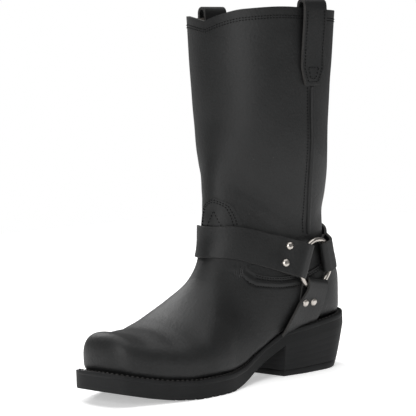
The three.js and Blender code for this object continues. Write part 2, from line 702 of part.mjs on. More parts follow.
// Rivets: domed heads on the straps, where a line level across the boot meets the
// leather. Places are shares of the sole length and the rim height.
const frontRivets = [{ at: 0.326, up: 0.363 }, { at: 0.344, up: 0.318 }];
const lowRivets = [{ at: 0.264, up: 0.200 }, { at: 0.227, up: 0.199 }];
const rivetProfile = [
  { across: 0, rise: 0 }, { across: 1, rise: 0 }, { across: 1, rise: 0.26 },
  { across: 0.71, rise: 0.78 }, { across: 0, rise: 1 },
];
const rivetOn = (side, strap, { at, up }) => {
  const mesh = new THREE.Mesh(geometryOf(strap), bothSides);
  const from = new THREE.Vector3(side * reach, placeY(at), up * rimHeight);
  const hit = new THREE.Raycaster(from, new THREE.Vector3(-side, 0, 0)).intersectObject(mesh)[0];
  const { normal } = hit.face;
  const profile = rivetProfile.map(({ across, rise }) => new THREE.Vector2(
    across * rivetRadius, gap + rise * rivetHeight));
  const head = new THREE.LatheGeometry(profile, rivetSteps);
  head.applyQuaternion(new THREE.Quaternion().setFromUnitVectors(new THREE.Vector3(0, 1, 0), normal));
  head.translate(hit.point.x, hit.point.y, hit.point.z);
  const seat = normal.clone().multiplyScalar(gap);
  return solidOf(head).subtract(strap.translate([seat.x, seat.y, seat.z]));
};

// Side seams: a raised cord from the pull loop's end to over the ring. Heights are
// shares of the way from the ring's middle to the loop's end.
const loopEndZ = rimHeight - loopLength;
const seamLine = [
  { at: 0.259, along: 0.993 }, { at: 0.251, along: 0.639 }, { at: 0.241, along: 0.356 },
  { at: 0.229, along: 0.164 },
];
const makeSeam = (side) => {
  const line = seamLine.map(({ at, along }) => [
    placeY(at), THREE.MathUtils.lerp(ringHeight, loopEndZ, along)]);
  const front = line.map(([y, z]) => [y - seamWidth / 2, z]);
  const back = line.map(([y, z]) => [y + seamWidth / 2, z]);
  return layerOver([...front, ...back.reverse()], gap, gap + seamHeight).intersect(sideSlab(side));
};

// Pull loops: a strap over the rim, sewn down outside and inside, with room for fingers.
// Its side view from the front is one outline, then its ends taper seen from the side.
const loopAt = 0.264;
const loopY = placeY(loopAt);
const archPower = 0.5;
const makeLoop = (side) => {
  const taperZ = loopEndZ + loopTaper;
  const insideZ = rimHeight - loopInside;
  const skin = (z) => side * sideX(side, loopY, z) - vampStep;
  const lift = (z) => loopSlack * THREE.MathUtils.smoothstep(z, taperZ, rimHeight);
  const outer = [];
  const inner = [];
  for (let i = 0; i <= loopSteps; i += 1) {
    const z = THREE.MathUtils.lerp(loopEndZ, rimHeight, i / loopSteps);
    outer.push([skin(z) + gap + lift(z), z]);
    const insideAt = THREE.MathUtils.lerp(insideZ, rimHeight, i / loopSteps);
    inner.push([skin(insideAt) - wall - gap, insideAt]);
  }
  const thicken = (points, by) => points.map(([x, z]) => [x + by, z]);
  const arch = (from, to, rise) => {
    const points = [];
    for (let i = 1; i < archSteps; i += 1) {
      const angle = Math.PI * i / archSteps;
      const across = (from - to) / 2 * Math.cos(angle);
      points.push([(from + to) / 2 + across, rimHeight + rise * Math.sin(angle) ** archPower]);
    }
    return points;
  };
  const outerX = outer[loopSteps][0];
  const innerX = inner[loopSteps][0];
  const outline = [
    ...thicken(outer, strapThickness),
    ...arch(outerX + strapThickness, innerX - strapThickness, loopRise),
    ...thicken(inner, -strapThickness).reverse(),
    ...inner,
    ...arch(innerX, outerX, loopRise - strapThickness),
    ...outer.reverse(),
  ];
  const strip = frontPrism(outline.map(([x, z]) => [side * x, z]), loopY - loopWidth, loopY + loopWidth);
  const cut = sidePrism([
    [loopY - loopEndWidth / 2, loopEndZ], [loopY + loopEndWidth / 2, loopEndZ],
    [loopY + loopWidth / 2, taperZ], [loopY + loopWidth / 2, rimHeight + 2 * loopRise],
    [loopY - loopWidth / 2, rimHeight + 2 * loopRise], [loopY - loopWidth / 2, taperZ],
  ], -reach, reach);
  const keepOut = bootForm(gap).subtract(bootForm(-wall - gap)).intersect(slab(0, rimHeight + gap));
  return strip.intersect(cut).subtract(keepOut);
};

// Materials
const finish = (color, roughness, metalness = 0) => new THREE.MeshStandardMaterial({
  color, roughness, metalness,
});
const leather = finish(0x34363a, 0.6);
const soleBlack = finish(0x232426, 0.75);
const lining = finish(0x6b5a48, 0.8);
const nickel = finish(0xc9c4bc, 0.3, 0.9);

// The boot
const group = new THREE.Group();
const piece = (name, solid, material) => {
  const mesh = new THREE.Mesh(geometryOf(solid), material);
  mesh.name = name;
  group.add(mesh);
};
const heel = heelForm();
piece('outsole', makeOutsole(), soleBlack);
piece('welt', makeWelt(), soleBlack);
piece('heel_lift', heel.intersect(slab(-gap, liftThickness)), soleBlack);
piece('heel', heel.intersect(slab(liftThickness + gap, reach)), soleBlack);
piece('upper', makeUpper(), leather);
piece('insole', makeInsole(), lining);
const front = makeStrap(frontStrap);
piece('strap_front', front, leather);
piece('strap_back', makeStrap(backStrap), leather);
for (const [name, side] of [['outer', 1], ['inner', -1]]) {
  const low = makeLowStrap(side);
  piece(`strap_low_${name}`, low, leather);
  piece(`ring_${name}`, ringForm(side, ringWire), nickel);
  frontRivets.forEach((place, i) => {
    piece(`rivet_front_${name}_${i + 1}`, rivetOn(side, front, place), nickel);
  });
  lowRivets.forEach((place, i) => {
    piece(`rivet_low_${name}_${i + 1}`, rivetOn(side, low, place), nickel);
  });
  piece(`seam_${name}`, makeSeam(side), leather);
  piece(`pull_loop_${name}`, makeLoop(side), leather);
}

export default group;
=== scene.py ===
"""A harness boot: its leather, harness, sole and studio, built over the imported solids."""
import math

import bmesh
import bpy
import numpy as np
from mathutils import Matrix, Vector
from mathutils.bvhtree import BVHTree


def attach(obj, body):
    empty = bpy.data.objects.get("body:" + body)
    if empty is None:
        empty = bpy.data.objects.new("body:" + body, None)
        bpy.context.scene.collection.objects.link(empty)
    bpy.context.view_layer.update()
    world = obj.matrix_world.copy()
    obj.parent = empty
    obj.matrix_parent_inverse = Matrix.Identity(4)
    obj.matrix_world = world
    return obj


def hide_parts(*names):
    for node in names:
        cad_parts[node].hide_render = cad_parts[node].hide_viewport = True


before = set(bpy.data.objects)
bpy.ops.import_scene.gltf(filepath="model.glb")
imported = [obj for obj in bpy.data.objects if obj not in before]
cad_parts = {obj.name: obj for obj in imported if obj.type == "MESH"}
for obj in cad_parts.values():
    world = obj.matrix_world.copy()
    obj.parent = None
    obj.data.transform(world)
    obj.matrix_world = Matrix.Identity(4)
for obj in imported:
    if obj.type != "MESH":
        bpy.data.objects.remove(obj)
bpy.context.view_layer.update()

bl_info = {
    "name": "Harness boot",
    "version": (1, 0, 0),
    "blender": (4, 5, 0),
    "location": "View3D > Sidebar > Boot",
    "description": "Builds a left harness boot, piece by piece, and its studio",
    "category": "Object",
}

MM = 0.001
SIDES = {"outer": 1, "inner": -1}


def table(columns, *rows):
    """A table's rows, each read by the names of its columns"""
    return [dict(zip(columns.split(), row)) for row in rows]


# Sizes and colours that a user would change


def length(name, description, default):
    return bpy.props.FloatProperty(
        name=name, description=description, default=default, unit="LENGTH", precision=4)


def colour(name, description, default):
    return bpy.props.FloatVectorProperty(
        name=name, description=description, default=default, subtype="COLOR",
        min=0.0, max=1.0, size=3)


class BootSizes(bpy.types.PropertyGroup):
    """Sizes of the boot"""

    sole_length: length("Sole length", "Heel back to toe tip", 0.297)
    ball_width: length("Ball width", "Width that the forefoot is drawn from", 0.110)
    heel_width: length("Heel width", "Width of the heel seat", 0.079)
    heel_bottom_length: length("Heel bottom length", "Flat of the heel on the floor", 0.084)
    heel_rake: length("Heel rake", "How far the seat stands back over the heel's bottom", 0.0125)
    heel_breast_height: length("Heel breast height", "Floor to the shank", 0.0285)
    heel_back_height: length("Heel back height", "Floor to the seat at the back", 0.040)
    lift_thickness: length("Lift thickness", "Rubber top lift under the heel", 0.007)
    fore_edge: length("Forefoot edge", "Welt top to underside at the ball", 0.0165)
    rear_edge: length("Rear edge", "Welt top to underside at the heel", 0.0135)
    toe_spring: length("Toe spring", "Rise of the toe tip over the floor", 0.0135)
    toe_round: length("Toe round", "Depth of the rounding at the toe tip", 0.016)
    welt_thickness: length("Welt thickness", "Thickness of the welt", 0.0042)
    welt_width: length("Welt width", "Width of the welt", 0.013)
    toe_margin: length("Toe margin", "Welt showing ahead of the toe", 0.008)
    side_margin: length("Side margin", "Welt showing beside the ball", 0.006)
    seat_margin: length("Seat margin", "Welt showing round the heel", 0.0055)
    tread_depth: length("Tread depth", "Depth of the tread's grooves", 0.0016)
    tread_pitch: length("Tread pitch", "Distance from groove to groove", 0.009)
    tread_groove: length("Tread groove", "Width of a groove", 0.003)
    wall: length("Wall", "Thickness of the upper and its lining", 0.0024)
    vamp_step: length("Vamp step", "How far the vamp stands over the shaft", 0.0014)
    instep_height: length("Instep height", "Rise of the instep over the welt", 0.090)
    belly_height: length("Belly height", "Where the foot is widest over the welt", 0.012)
    rim_height: length("Rim height", "Floor to the collar", 0.334)
    rim_dip: length("Rim dip", "Depth of the dip in the collar's front", 0.0068)
    rim_swell: length("Rim swell", "Rise of the collar at its outer front", 0.0030)
    rim_dip_half: length("Dip half width", "Half width of the dip", 0.036)
    collar_length: length("Collar length", "Front to back at the collar", 0.146)
    collar_width: length("Collar width", "Side to side at the collar", 0.126)
    shaft_centre: length("Shaft centre", "Where the shaft's middle is along the boot", -0.027)
    strap_thickness: length("Strap thickness", "Thickness of the harness leather", 0.0024)
    strap_height: length("Strap height", "Top of a strap over the shaft's leather", 0.0043)
    ring_radius: length("Ring radius", "Outer radius of the harness rings", 0.0244)
    ring_wire: length("Ring wire", "Thickness of the rings' wire", 0.0044)
    rivet_radius: length("Rivet radius", "Radius of the rivets' heads", 0.0036)
    rivet_height: length("Rivet height", "Height of the rivets' heads", 0.0019)
    seam_width: length("Seam width", "Width of the side seams' cord", 0.0042)
    seam_height: length("Seam height", "Height of the side seams' cord", 0.0020)
    loop_width: length("Loop width", "Width of the pull loops", 0.0285)
    loop_end_width: length("Loop end width", "Width of the pull loops' ends", 0.0185)
    loop_rise: length("Loop rise", "Rise of the pull loops over the collar", 0.0095)
    loop_length: length("Loop length", "Length of the loops outside the shaft", 0.068)
    loop_taper: length("Loop taper", "Length of the tapered end", 0.015)
    loop_inside: length("Loop inside", "Length of the loops inside the shaft", 0.038)
    loop_slack: length("Loop slack", "How far the loops stand off at the collar", 0.0026)
    loop_leather: length("Loop leather", "Thickness of the pull loops", 0.0026)
    fit: length("Fit", "Room between pieces", 0.0003)
    stitch_length: length("Stitch length", "Length of one stitch with its gap", 0.0028)
    thread: length("Thread", "Thickness of the thread", 0.00085)


class BootColours(bpy.types.PropertyGroup):
    """Colours of the boot and its studio"""

    leather: colour("Leather", "Oiled black leather", (0.0078, 0.0082, 0.0084))
    edge: colour("Cut edge", "Cut edges of the leather", (0.027, 0.0255, 0.024))
    welt_thread: colour("Welt thread", "Stitching on the welt", (0.035, 0.034, 0.033))
    thread: colour("Thread", "Stitching", (0.0016, 0.0016, 0.0017))
    lining: colour("Lining", "Lining of the shaft", (0.060, 0.048, 0.038))
    sole: colour("Sole", "Outsole and welt", (0.0062, 0.0065, 0.0068))
    heel: colour("Heel", "Heel stack", (0.0060, 0.0063, 0.0067))
    metal: colour("Metal", "Rings and rivets", (0.50, 0.465, 0.43))
    floor: colour("Floor", "Studio floor", (0.90, 0.90, 0.90))


# Tables: shares of the sizes above

# Sole: half width in ball and heel widths, and swing in sole lengths, along the sole
SOLE_ROWS = table(
    "at of_ball of_heel swing",
    (0.00, 0.000, 0.495, 0.000), (0.12, 0.000, 0.500, 0.002), (0.22, 0.000, 0.490, 0.002),
    (0.33, 0.120, 0.257, 0.002), (0.42, 0.200, 0.120, 0.005), (0.50, 0.290, 0.061, 0.006),
    (0.58, 0.416, 0.000, 0.003), (0.66, 0.482, 0.000, -0.003), (0.73, 0.495, 0.000, -0.009),
    (0.80, 0.464, 0.000, -0.014), (0.87, 0.402, 0.000, -0.018), (0.94, 0.324, 0.000, -0.018),
    (1.00, 0.270, 0.000, -0.016),
)
# The forefoot's flat on the floor, along the sole
FLAT_START, FLAT_END = 0.595, 0.75
# Underside from the heel's breast to the forefoot's flat, in breast heights
SHANK_ROWS = table(
    "along of_breast",
    (0.000, 1.00), (0.241, 0.70), (0.500, 0.39), (0.759, 0.12), (1.000, 0.00),
)
# Underside from the flat to the toe's tip, in toe springs
SPRING_ROWS = table(
    "along of_spring",
    (0.00, 0.00), (0.28, 0.13), (0.56, 0.40), (0.80, 0.72), (1.00, 1.00),
)
# How far the sole's edge has the forefoot's thickness and not the heel's
EDGE_ROWS = table(
    "at fore",
    (0.00, 0.0), (0.45, 0.0), (0.62, 1.0), (1.00, 1.0),
)
# Welt that shows, as shares of the seat, side and toe margins
MARGIN_ROWS = table(
    "at seat side toe",
    (0.00, 1.0, 0.0, 0.0), (0.50, 1.0, 0.0, 0.0), (0.66, 0.0, 1.0, 0.0),
    (0.90, 0.0, 0.0, 1.0), (1.00, 0.0, 0.0, 1.0),
)
# Upper over the foot: ridge and feather edge along the sole, rise in instep heights,
# lean and swell in ball widths, and the roundness of crown and floor
FOOT_ROWS = table(
    "top low rise lean swell crown floor",
    (0.924, 0.924, 0.388, 0.000, 0.010, 2.45, 3.0),
    (0.867, 0.872, 0.388, 0.008, 0.014, 2.50, 3.0),
    (0.806, 0.815, 0.420, 0.022, 0.018, 2.42, 3.0),
    (0.742, 0.752, 0.506, 0.036, 0.018, 2.28, 3.0),
    (0.682, 0.688, 0.608, 0.048, 0.016, 2.12, 3.0),
    (0.625, 0.610, 0.735, 0.050, 0.020, 2.00, 3.0),
    (0.579, 0.520, 0.868, 0.042, 0.034, 1.95, 3.0),
)
# Upper at the throat: ridge ahead and up in shares of the shaft, the belly's height as a
# share of the section
THROAT_ROWS = table(
    "ahead up low wide lean swell crown floor",
    (1.110, 0.201, 0.420, 0.25, 0.034, 0.050, 1.92, 2.8),
    (1.042, 0.246, 0.315, 0.30, 0.026, 0.050, 1.92, 2.6),
    (1.012, 0.294, 0.210, 0.32, 0.018, 0.030, 1.95, 2.5),
    (1.010, 0.340, 0.110, 0.33, 0.012, 0.042, 1.95, 2.4),
    (1.008, 0.383, 0.030, 0.33, 0.008, 0.052, 2.00, 2.3),
)
# Shaft: front and back in shares of its size, half width in half collar widths
SHAFT_ROWS = table(
    "ahead up behind back_up half wide floor",
    (1.003, 0.422, 1.055, 0.023, 0.622, 0.34, 2.20),
    (0.995, 0.462, 1.073, 0.080, 0.642, 0.37, 2.10),
    (0.984, 0.504, 0.950, 0.144, 0.650, 0.40, 2.05),
    (0.972, 0.551, 0.815, 0.216, 0.705, 0.44, 2.00),
    (0.962, 0.604, 0.785, 0.294, 0.772, 0.47, 2.00),
    (0.955, 0.661, 0.828, 0.380, 0.845, 0.50, 2.00),
    (0.960, 0.722, 0.870, 0.476, 0.900, 0.50, 2.00),
    (0.966, 0.790, 0.886, 0.586, 0.924, 0.50, 2.00),
    (0.971, 0.865, 0.922, 0.708, 0.957, 0.50, 2.00),
    (0.973, 0.947, 0.970, 0.843, 0.984, 0.50, 2.00),
    (0.975, 1.057, 1.055, 1.057, 1.029, 0.50, 2.00),
)
# Top edge of vamp and counter along the sole, in rim heights
VAMP_EDGE = table(
    "at up",
    (-0.153, 0.340), (0.116, 0.318), (0.184, 0.296), (0.251, 0.280), (0.332, 0.279),
    (0.389, 0.284), (0.426, 0.292), (0.449, 0.306), (0.476, 0.326), (0.507, 0.334),
    (1.194, 0.337),
)
# Tongue's peak: half width in ball widths at heights in rim heights
TONGUE_ROWS = table(
    "up half",
    (0.350, 0.186), (0.430, 0.156), (0.479, 0.116), (0.494, 0.066), (0.503, 0.000),
)
TONGUE_SWING = 0.05
# The vamp goes up under the front strap below this height and ahead of this place
UNDER_STRAP, TONGUE_FRONT = 0.375, 0.39
# Wrap straps: edges in rim heights at degrees round the leg from its front
FRONT_STRAP_ROWS = table(
    "turn low high",
    (0.0, 0.3400, 0.4265), (18.0, 0.3392, 0.4262), (40.0, 0.3230, 0.4165),
    (62.0, 0.3060, 0.4065), (88.0, 0.2890, 0.3975), (120.0, 0.2660, 0.3700),
)
BACK_STRAP_ROWS = table(
    "turn low high",
    (138.0, 0.2740, 0.3600), (148.0, 0.2840, 0.3740), (160.0, 0.2980, 0.3960),
    (172.0, 0.3090, 0.4080), (180.0, 0.3120, 0.4100),
)
# Folded ends, from the ring's middle: heading in degrees, the rest in ring radii
STRAP_ENDS = {
    "front": {"heading": 161, "start": 0.459, "swing": 0.061, "half": 0.648, "length": 1.230},
    "back": {"heading": 17, "start": 0.430, "swing": 0.041, "half": 0.582, "length": 0.943},
    "low": {"heading": -101, "start": 0.533, "swing": 0.150, "half": 0.590, "length": 1.107},
}
# Low strap: its edges either side of its middle line, in ring radii
LOW_STRAP_ROWS = table(
    "out front rear",
    (0.53, -0.44, 0.74), (1.02, -0.36, 0.75), (1.38, -0.43, 0.80), (1.80, -0.63, 0.77),
    (2.30, -0.86, 0.74), (2.80, -1.02, 0.72), (3.30, -1.10, 0.70),
)
# How far the low strap's front edge stands off the leather, the shares across and the length
# in ring radii that it does so over, and its power
LOW_STRAP_LIFT, LIFT_ACROSS, LIFT_LENGTH, LIFT_POWER = 0.0030, 0.55, 2.4, 1.6
# How far past its end a low strap may reach, and where it stops over the welt
LOW_STRAP_REACH, LOW_STRAP_ROOM = 0.045, 0.0014
# Rivets: shares of the sole length and the rim height
RIVETS = {
    "front_1": {"strap": "strap_front", "at": 0.326, "up": 0.363},
    "front_2": {"strap": "strap_front", "at": 0.344, "up": 0.318},
    "low_1": {"strap": "strap_low", "at": 0.264, "up": 0.200},
    "low_2": {"strap": "strap_low", "at": 0.227, "up": 0.199},
}
# A head's profile from its middle to under its rim, in its radius and height
RIVET_PROFILE = [
    (0.0, 1.0), (0.30, 0.985), (0.55, 0.90), (0.78, 0.70), (0.93, 0.42), (1.0, 0.16), (1.0, -0.25),
]
# Side seam: place along the sole, from over the ring to the pull loop
SEAM_LINE = table(
    "along at",
    (0.164, 0.229), (0.356, 0.241), (0.639, 0.251), (0.993, 0.259),
)
# Creases: rise and width in mm, and points as shares of ball width, sole length and rim height
CREASES = table(
    "rise width line",
    (2.2, 23, [(-0.26, 0.830, 0.160), (-0.05, 0.835, 0.180), (0.18, 0.825, 0.165), (0.32, 0.810, 0.12)]),
    (-0.45, 8, [(0.10, 0.86, 0.16), (0.22, 0.87, 0.13), (0.30, 0.86, 0.10)]),
    (-0.8, 7, [(0.10, 0.640, 0.27), (0.25, 0.590, 0.24), (0.33, 0.520, 0.21)]),
    (1.0, 9, [(0.16, 0.560, 0.30), (0.30, 0.610, 0.22), (0.40, 0.680, 0.14)]),
    (0.9, 8, [(0.32, 0.470, 0.25), (0.37, 0.520, 0.20), (0.42, 0.590, 0.14)]),
    (-0.8, 6, [(0.36, 0.400, 0.24), (0.38, 0.430, 0.19), (0.39, 0.470, 0.15)]),
    (0.9, 9, [(-0.16, 0.600, 0.30), (-0.32, 0.630, 0.22), (-0.42, 0.690, 0.14)]),
    (-0.7, 8, [(-0.34, 0.480, 0.25), (-0.40, 0.540, 0.18)]),
    (1.9, 20, [(-0.24, 0.480, 0.43), (-0.25, 0.475, 0.52), (-0.28, 0.475, 0.62)]),
    (-1.0, 6, [(-0.36, 0.360, 0.40), (-0.20, 0.470, 0.455), (0.02, 0.510, 0.470)]),
    (-0.7, 8, [(0.40, 0.330, 0.42), (0.30, 0.440, 0.500), (0.14, 0.500, 0.540)]),
    (-0.8, 9, [(0.36, 0.170, 0.44), (0.20, 0.070, 0.470), (0.00, 0.050, 0.480)]),
    (0.8, 16, [(0.28, 0.440, 0.62), (0.34, 0.420, 0.78), (0.36, 0.420, 0.92)]),
    (-0.7, 18, [(0.05, 0.500, 0.62), (0.10, 0.510, 0.76), (0.02, 0.520, 0.90)]),
    (-0.8, 18, [(-0.40, 0.300, 0.66), (-0.44, 0.280, 0.82)]),
    (-0.7, 16, [(0.34, 0.120, 0.60), (0.38, 0.110, 0.80)]),
    (-0.7, 2.6, [(0.455, 0.247, 0.48), (0.490, 0.258, 0.62), (0.537, 0.267, 0.78)]),
    (-0.7, 2.6, [(-0.455, 0.247, 0.48), (-0.490, 0.258, 0.62), (-0.537, 0.267, 0.78)]),
)
# Padded roll and grooves under the vamp's edge, in mm
VAMP_RIDGES = table("below rise width", (7.0, 0.6, 2.0), (9.9, -0.7, 0.9), (3.0, -0.3, 1.4))
RING_UP = 0.308
LOOP_AT = 0.267
# Middle of the leg along the boot, and a distance well outside it
AXIS_Y, FAR = -0.045, 0.5


def run_through(rows, key, column, at):
    """A smooth run through a table's rows, read by one of its columns"""
    x = np.array([row[key] for row in rows])
    y = np.array([row[column] for row in rows])
    at = np.asarray(at, float)
    i = np.clip(np.searchsorted(x, at) - 1, 0, len(x) - 2)
    slopes = np.diff(y) / np.diff(x)
    before, after = slopes[:-1], slopes[1:]
    product = before * after
    total = np.where(product > 0, before + after, 1.0)
    inner = np.where(product > 0, 2 * product / total, 0.0)
    tangents = np.concatenate([slopes[:1], inner, slopes[-1:]])
    span = (x[1:] - x[:-1])[i]
    t = np.clip((at - x[i]) / span, 0, 1)
    return ((2 * t ** 3 - 3 * t ** 2 + 1) * y[i] + (t ** 3 - 2 * t ** 2 + t) * span * tangents[i]
            + (3 * t ** 2 - 2 * t ** 3) * y[i + 1] + (t ** 3 - t ** 2) * span * tangents[i + 1])


def end_round(share, power):
    """A rounded end: 0 at its tip, 1 where it is full"""
    t = np.clip(share, 0, 1)
    return (1 - (1 - t) ** power) ** (1 / power)


def smooth_step(value, low, high):
    t = np.clip((np.asarray(value, float) - low) / (high - low), 0, 1)
    return t * t * (3 - 2 * t)


def mix(a, b, t):
    return a + (b - a) * t


class BootForm:
    """Where the leather and the sole lie, worked out from the sizes"""

    CAP_POWER, ROUND_POWER, FEATHER_SINK = 2.4, 2.0, 0.014
    SEAT_ROUND, SEAT_POWER, TOE_POWER = 0.49, 2.1, 2.6
    WELT_TUCK, TUCK_HEIGHT = 0.0016, 0.0032
    ROLL_FADE, ROLL_SIDES = 0.014, (0.016, 0.024)
    DIP_POWER, SWELL_REACH, SWELL_SIDES, INNER_DROP = 1.4, 0.034, (-0.010, 0.034), 0.6
    RIM_ROWS, RIM_HALVINGS, VAMP_ROWS, VAMP_HALVINGS = 2.5, 30, 900, 12
    KEYS = ("top_y", "top_z", "low_y", "low_z", "half", "centre", "lean", "belly", "crown", "floor")

    def __init__(self, sizes):
        self.s = sizes
        self.sole_back = sizes.heel_bottom_length / 2 + sizes.heel_rake
        self.breast_y = -sizes.heel_bottom_length / 2
        self.breast = self.share_of(self.breast_y)
        self.seat_top = float(self.welt_top(0))
        self.sections = [self.section_of(row) for row in FOOT_ROWS + THROAT_ROWS + SHAFT_ROWS]
        for count, section in enumerate(self.sections):
            section["row"] = count + 1
        self.last_row = len(self.sections)

    def place_y(self, share):
        return self.sole_back - share * self.s.sole_length

    def share_of(self, y):
        return (self.sole_back - y) / self.s.sole_length

    def share_within(self, y):
        """The share along the sole, kept between its ends"""
        return np.clip(self.share_of(y), 0, 1)

    # Sole

    def sole_swing(self, share):
        return self.s.sole_length * run_through(SOLE_ROWS, "at", "swing", share)

    def sole_half(self, share):
        return (self.s.ball_width * run_through(SOLE_ROWS, "at", "of_ball", share)
                + self.s.heel_width * run_through(SOLE_ROWS, "at", "of_heel", share))

    def sole_ends(self, share):
        seat = share * self.s.sole_length / (self.SEAT_ROUND * self.s.heel_width)
        toe = (1 - share) * self.s.sole_length / self.s.toe_round
        return end_round(seat, self.SEAT_POWER) * end_round(toe, self.TOE_POWER)

    def underside(self, share):
        s = self.s
        share = np.asarray(share, float)
        seat = mix(s.heel_back_height, s.heel_breast_height, share / self.breast)
        along = (share - self.breast) / (FLAT_START - self.breast)
        shank = s.heel_breast_height * run_through(SHANK_ROWS, "along", "of_breast", along)
        nose = (share - FLAT_END) / (1 - FLAT_END)
        spring = s.toe_spring * run_through(SPRING_ROWS, "along", "of_spring", nose)
        fore = np.where(nose <= 0, 0.0, spring)
        return np.where(share <= self.breast, seat, np.where(share < FLAT_START, shank, fore))

    def edge_thickness(self, share):
        return mix(self.s.rear_edge, self.s.fore_edge, run_through(EDGE_ROWS, "at", "fore", share))

    def welt_top(self, share):
        return self.underside(share) + self.edge_thickness(share)

    def margin(self, share):
        return (self.s.seat_margin * run_through(MARGIN_ROWS, "at", "seat", share)
                + self.s.side_margin * run_through(MARGIN_ROWS, "at", "side", share)
                + self.s.toe_margin * run_through(MARGIN_ROWS, "at", "toe", share))

    def edge_point(self, turn):
        share = (1 - np.cos(turn)) / 2
        side = np.where(np.mod(turn, 2 * math.pi) <= math.pi, 1, -1)
        x = self.sole_swing(share) + side * self.sole_half(share) * self.sole_ends(share)
        return np.stack([x, self.place_y(share)], -1)

    def outline(self, turn, inset=0.0):
        """The sole's plan outline, drawn in by an inset"""
        small = 1e-3
        way = self.edge_point(turn + small) - self.edge_point(turn - small)
        way /= np.linalg.norm(way, axis=-1, keepdims=True)
        inward = np.stack([way[..., 1], -way[..., 0]], -1)
        return self.edge_point(turn) + inward * np.asarray(inset)[..., None]

    # Upper

    def shaft_point(self, offset, up):
        s = self.s
        return (s.shaft_centre + offset * s.collar_length / 2,
                self.seat_top + up * (s.rim_height - self.seat_top))

    def section_of(self, row):
        s = self.s
        made = {"centre": 0.0, "lean": 0.0, "crown": row.get("crown", self.ROUND_POWER),
                "floor": row["floor"]}
        if "low" in row:
            share = row["low"]
            made["low_y"] = self.place_y(share)
            made["low_z"] = float(self.welt_top(share)) - self.FEATHER_SINK
            inset = float(self.sole_half(share) - self.margin(share))
            made["half"] = inset + row["swell"] * s.ball_width
            made["centre"] = float(self.sole_swing(share))
            made["lean"] = row["lean"] * s.ball_width
        else:
            made["low_y"], made["low_z"] = self.shaft_point(row["behind"], row["back_up"])
            made["half"] = row["half"] * s.collar_width / 2
        if "top" in row:
            made["top_y"] = self.place_y(row["top"])
            made["top_z"] = float(self.welt_top(row["top"])) + row["rise"] * s.instep_height
        else:
            made["top_y"], made["top_z"] = self.shaft_point(-row["ahead"], row["up"])
        tall = math.hypot(made["top_y"] - made["low_y"], made["top_z"] - made["low_z"])
        made["belly"] = row["wide"] * tall if "wide" in row else self.FEATHER_SINK + s.belly_height
        return made

    def section_at(self, row):
        """Sections between the tables' rows, and the rounding of the toe below row 1"""
        s = self.s
        row = np.asarray(row, float)
        at = {key: run_through(self.sections, "row", key, np.maximum(row, 1)) for key in self.KEYS}
        cap = row < 1
        way = np.where(cap, row * row, 1.0)
        size = np.where(cap, end_round(way, self.CAP_POWER), 1.0)
        tip = self.place_y(1) + s.toe_margin
        y = mix(tip, at["top_y"], way)
        share = self.share_of(y)
        middle = self.welt_top(share) + s.belly_height
        crown_height = at["top_z"] - at["low_z"] - at["belly"]
        swell = FOOT_ROWS[0]["swell"] * s.ball_width
        capped = {
            "top_y": y, "low_y": y, "top_z": middle + size * crown_height,
            "low_z": middle - size * at["belly"], "belly": at["belly"] * size,
            "half": size * (self.sole_half(share) - s.toe_margin + swell),
            "centre": self.sole_swing(share),
        }
        for key, value in capped.items():
            at[key] = np.where(cap, value, at[key])
        return at

    def last_point(self, row, turn):
        """A point of the skin: turn 0 is the front ridge, half a turn the back"""
        at = self.section_at(row)
        tall = np.hypot(at["top_y"] - at["low_y"], at["top_z"] - at["low_z"])
        rise, side = np.cos(turn), np.sin(turn)
        power = np.where(rise > 0, at["crown"], at["floor"])
        reach = (np.abs(side) ** power + np.abs(rise) ** power) ** (-1 / power)
        up = reach * rise
        h = at["belly"] + up * np.where(rise > 0, tall - at["belly"], at["belly"])
        lean = at["lean"] * smooth_step(up, 0, 1)
        share = h / np.maximum(tall, 1e-9)
        return np.stack([
            at["centre"] + at["half"] * reach * side - lean,
            mix(at["low_y"], at["top_y"], share),
            mix(at["low_z"], at["top_z"], share),
        ], -1)

    def middle(self, row):
        return (self.last_point(row, math.pi / 2) + self.last_point(row, -math.pi / 2)) / 2

    def skin(self, row, turn, offset=0.0):
        """Points of the outer skin at a distance along its outward direction"""
        row, turn = np.broadcast_arrays(np.asarray(row, float), np.asarray(turn, float))
        small = 0.02
        point = self.last_point(row, turn)
        along = (self.last_point(np.minimum(row + small, self.last_row), turn)
                 - self.last_point(np.maximum(row - small, 0.001), turn))
        around = self.last_point(row, turn + small) - self.last_point(row, turn - small)
        outward = np.cross(along, around)
        outward /= np.maximum(np.linalg.norm(outward, axis=-1, keepdims=True), 1e-12)
        facing = np.sum(outward * (point - self.middle(row)), -1, keepdims=True)
        outward = np.where(facing < 0, -outward, outward)
        return point + outward * (np.asarray(offset)[..., None] + self.relief(point)[..., None])

    def relief(self, point):
        """Soft creases and swells of the leather, in metres"""
        s = self.s
        total = np.zeros(point.shape[:-1])
        for crease in CREASES:
            line = np.array([(x * s.ball_width, self.place_y(at), up * s.rim_height)
                             for x, at, up in crease["line"]])
            best = np.full(total.shape, 9.0)
            for first, last in zip(line, line[1:]):
                way = last - first
                share = np.clip(((point - first) @ way) / (way @ way), 0, 1)
                away = np.linalg.norm(point - first - share[..., None] * way, axis=-1)
                best = np.minimum(best, away)
            total += crease["rise"] * MM * np.exp(-(best / (crease["width"] * MM)) ** 2)
        over_welt = point[..., 2] - self.welt_top(self.share_within(point[..., 1]))
        tuck = self.WELT_TUCK * np.exp(-(np.maximum(over_welt, 0) / self.TUCK_HEIGHT) ** 2)
        return total - tuck + self.vamp_roll(point)

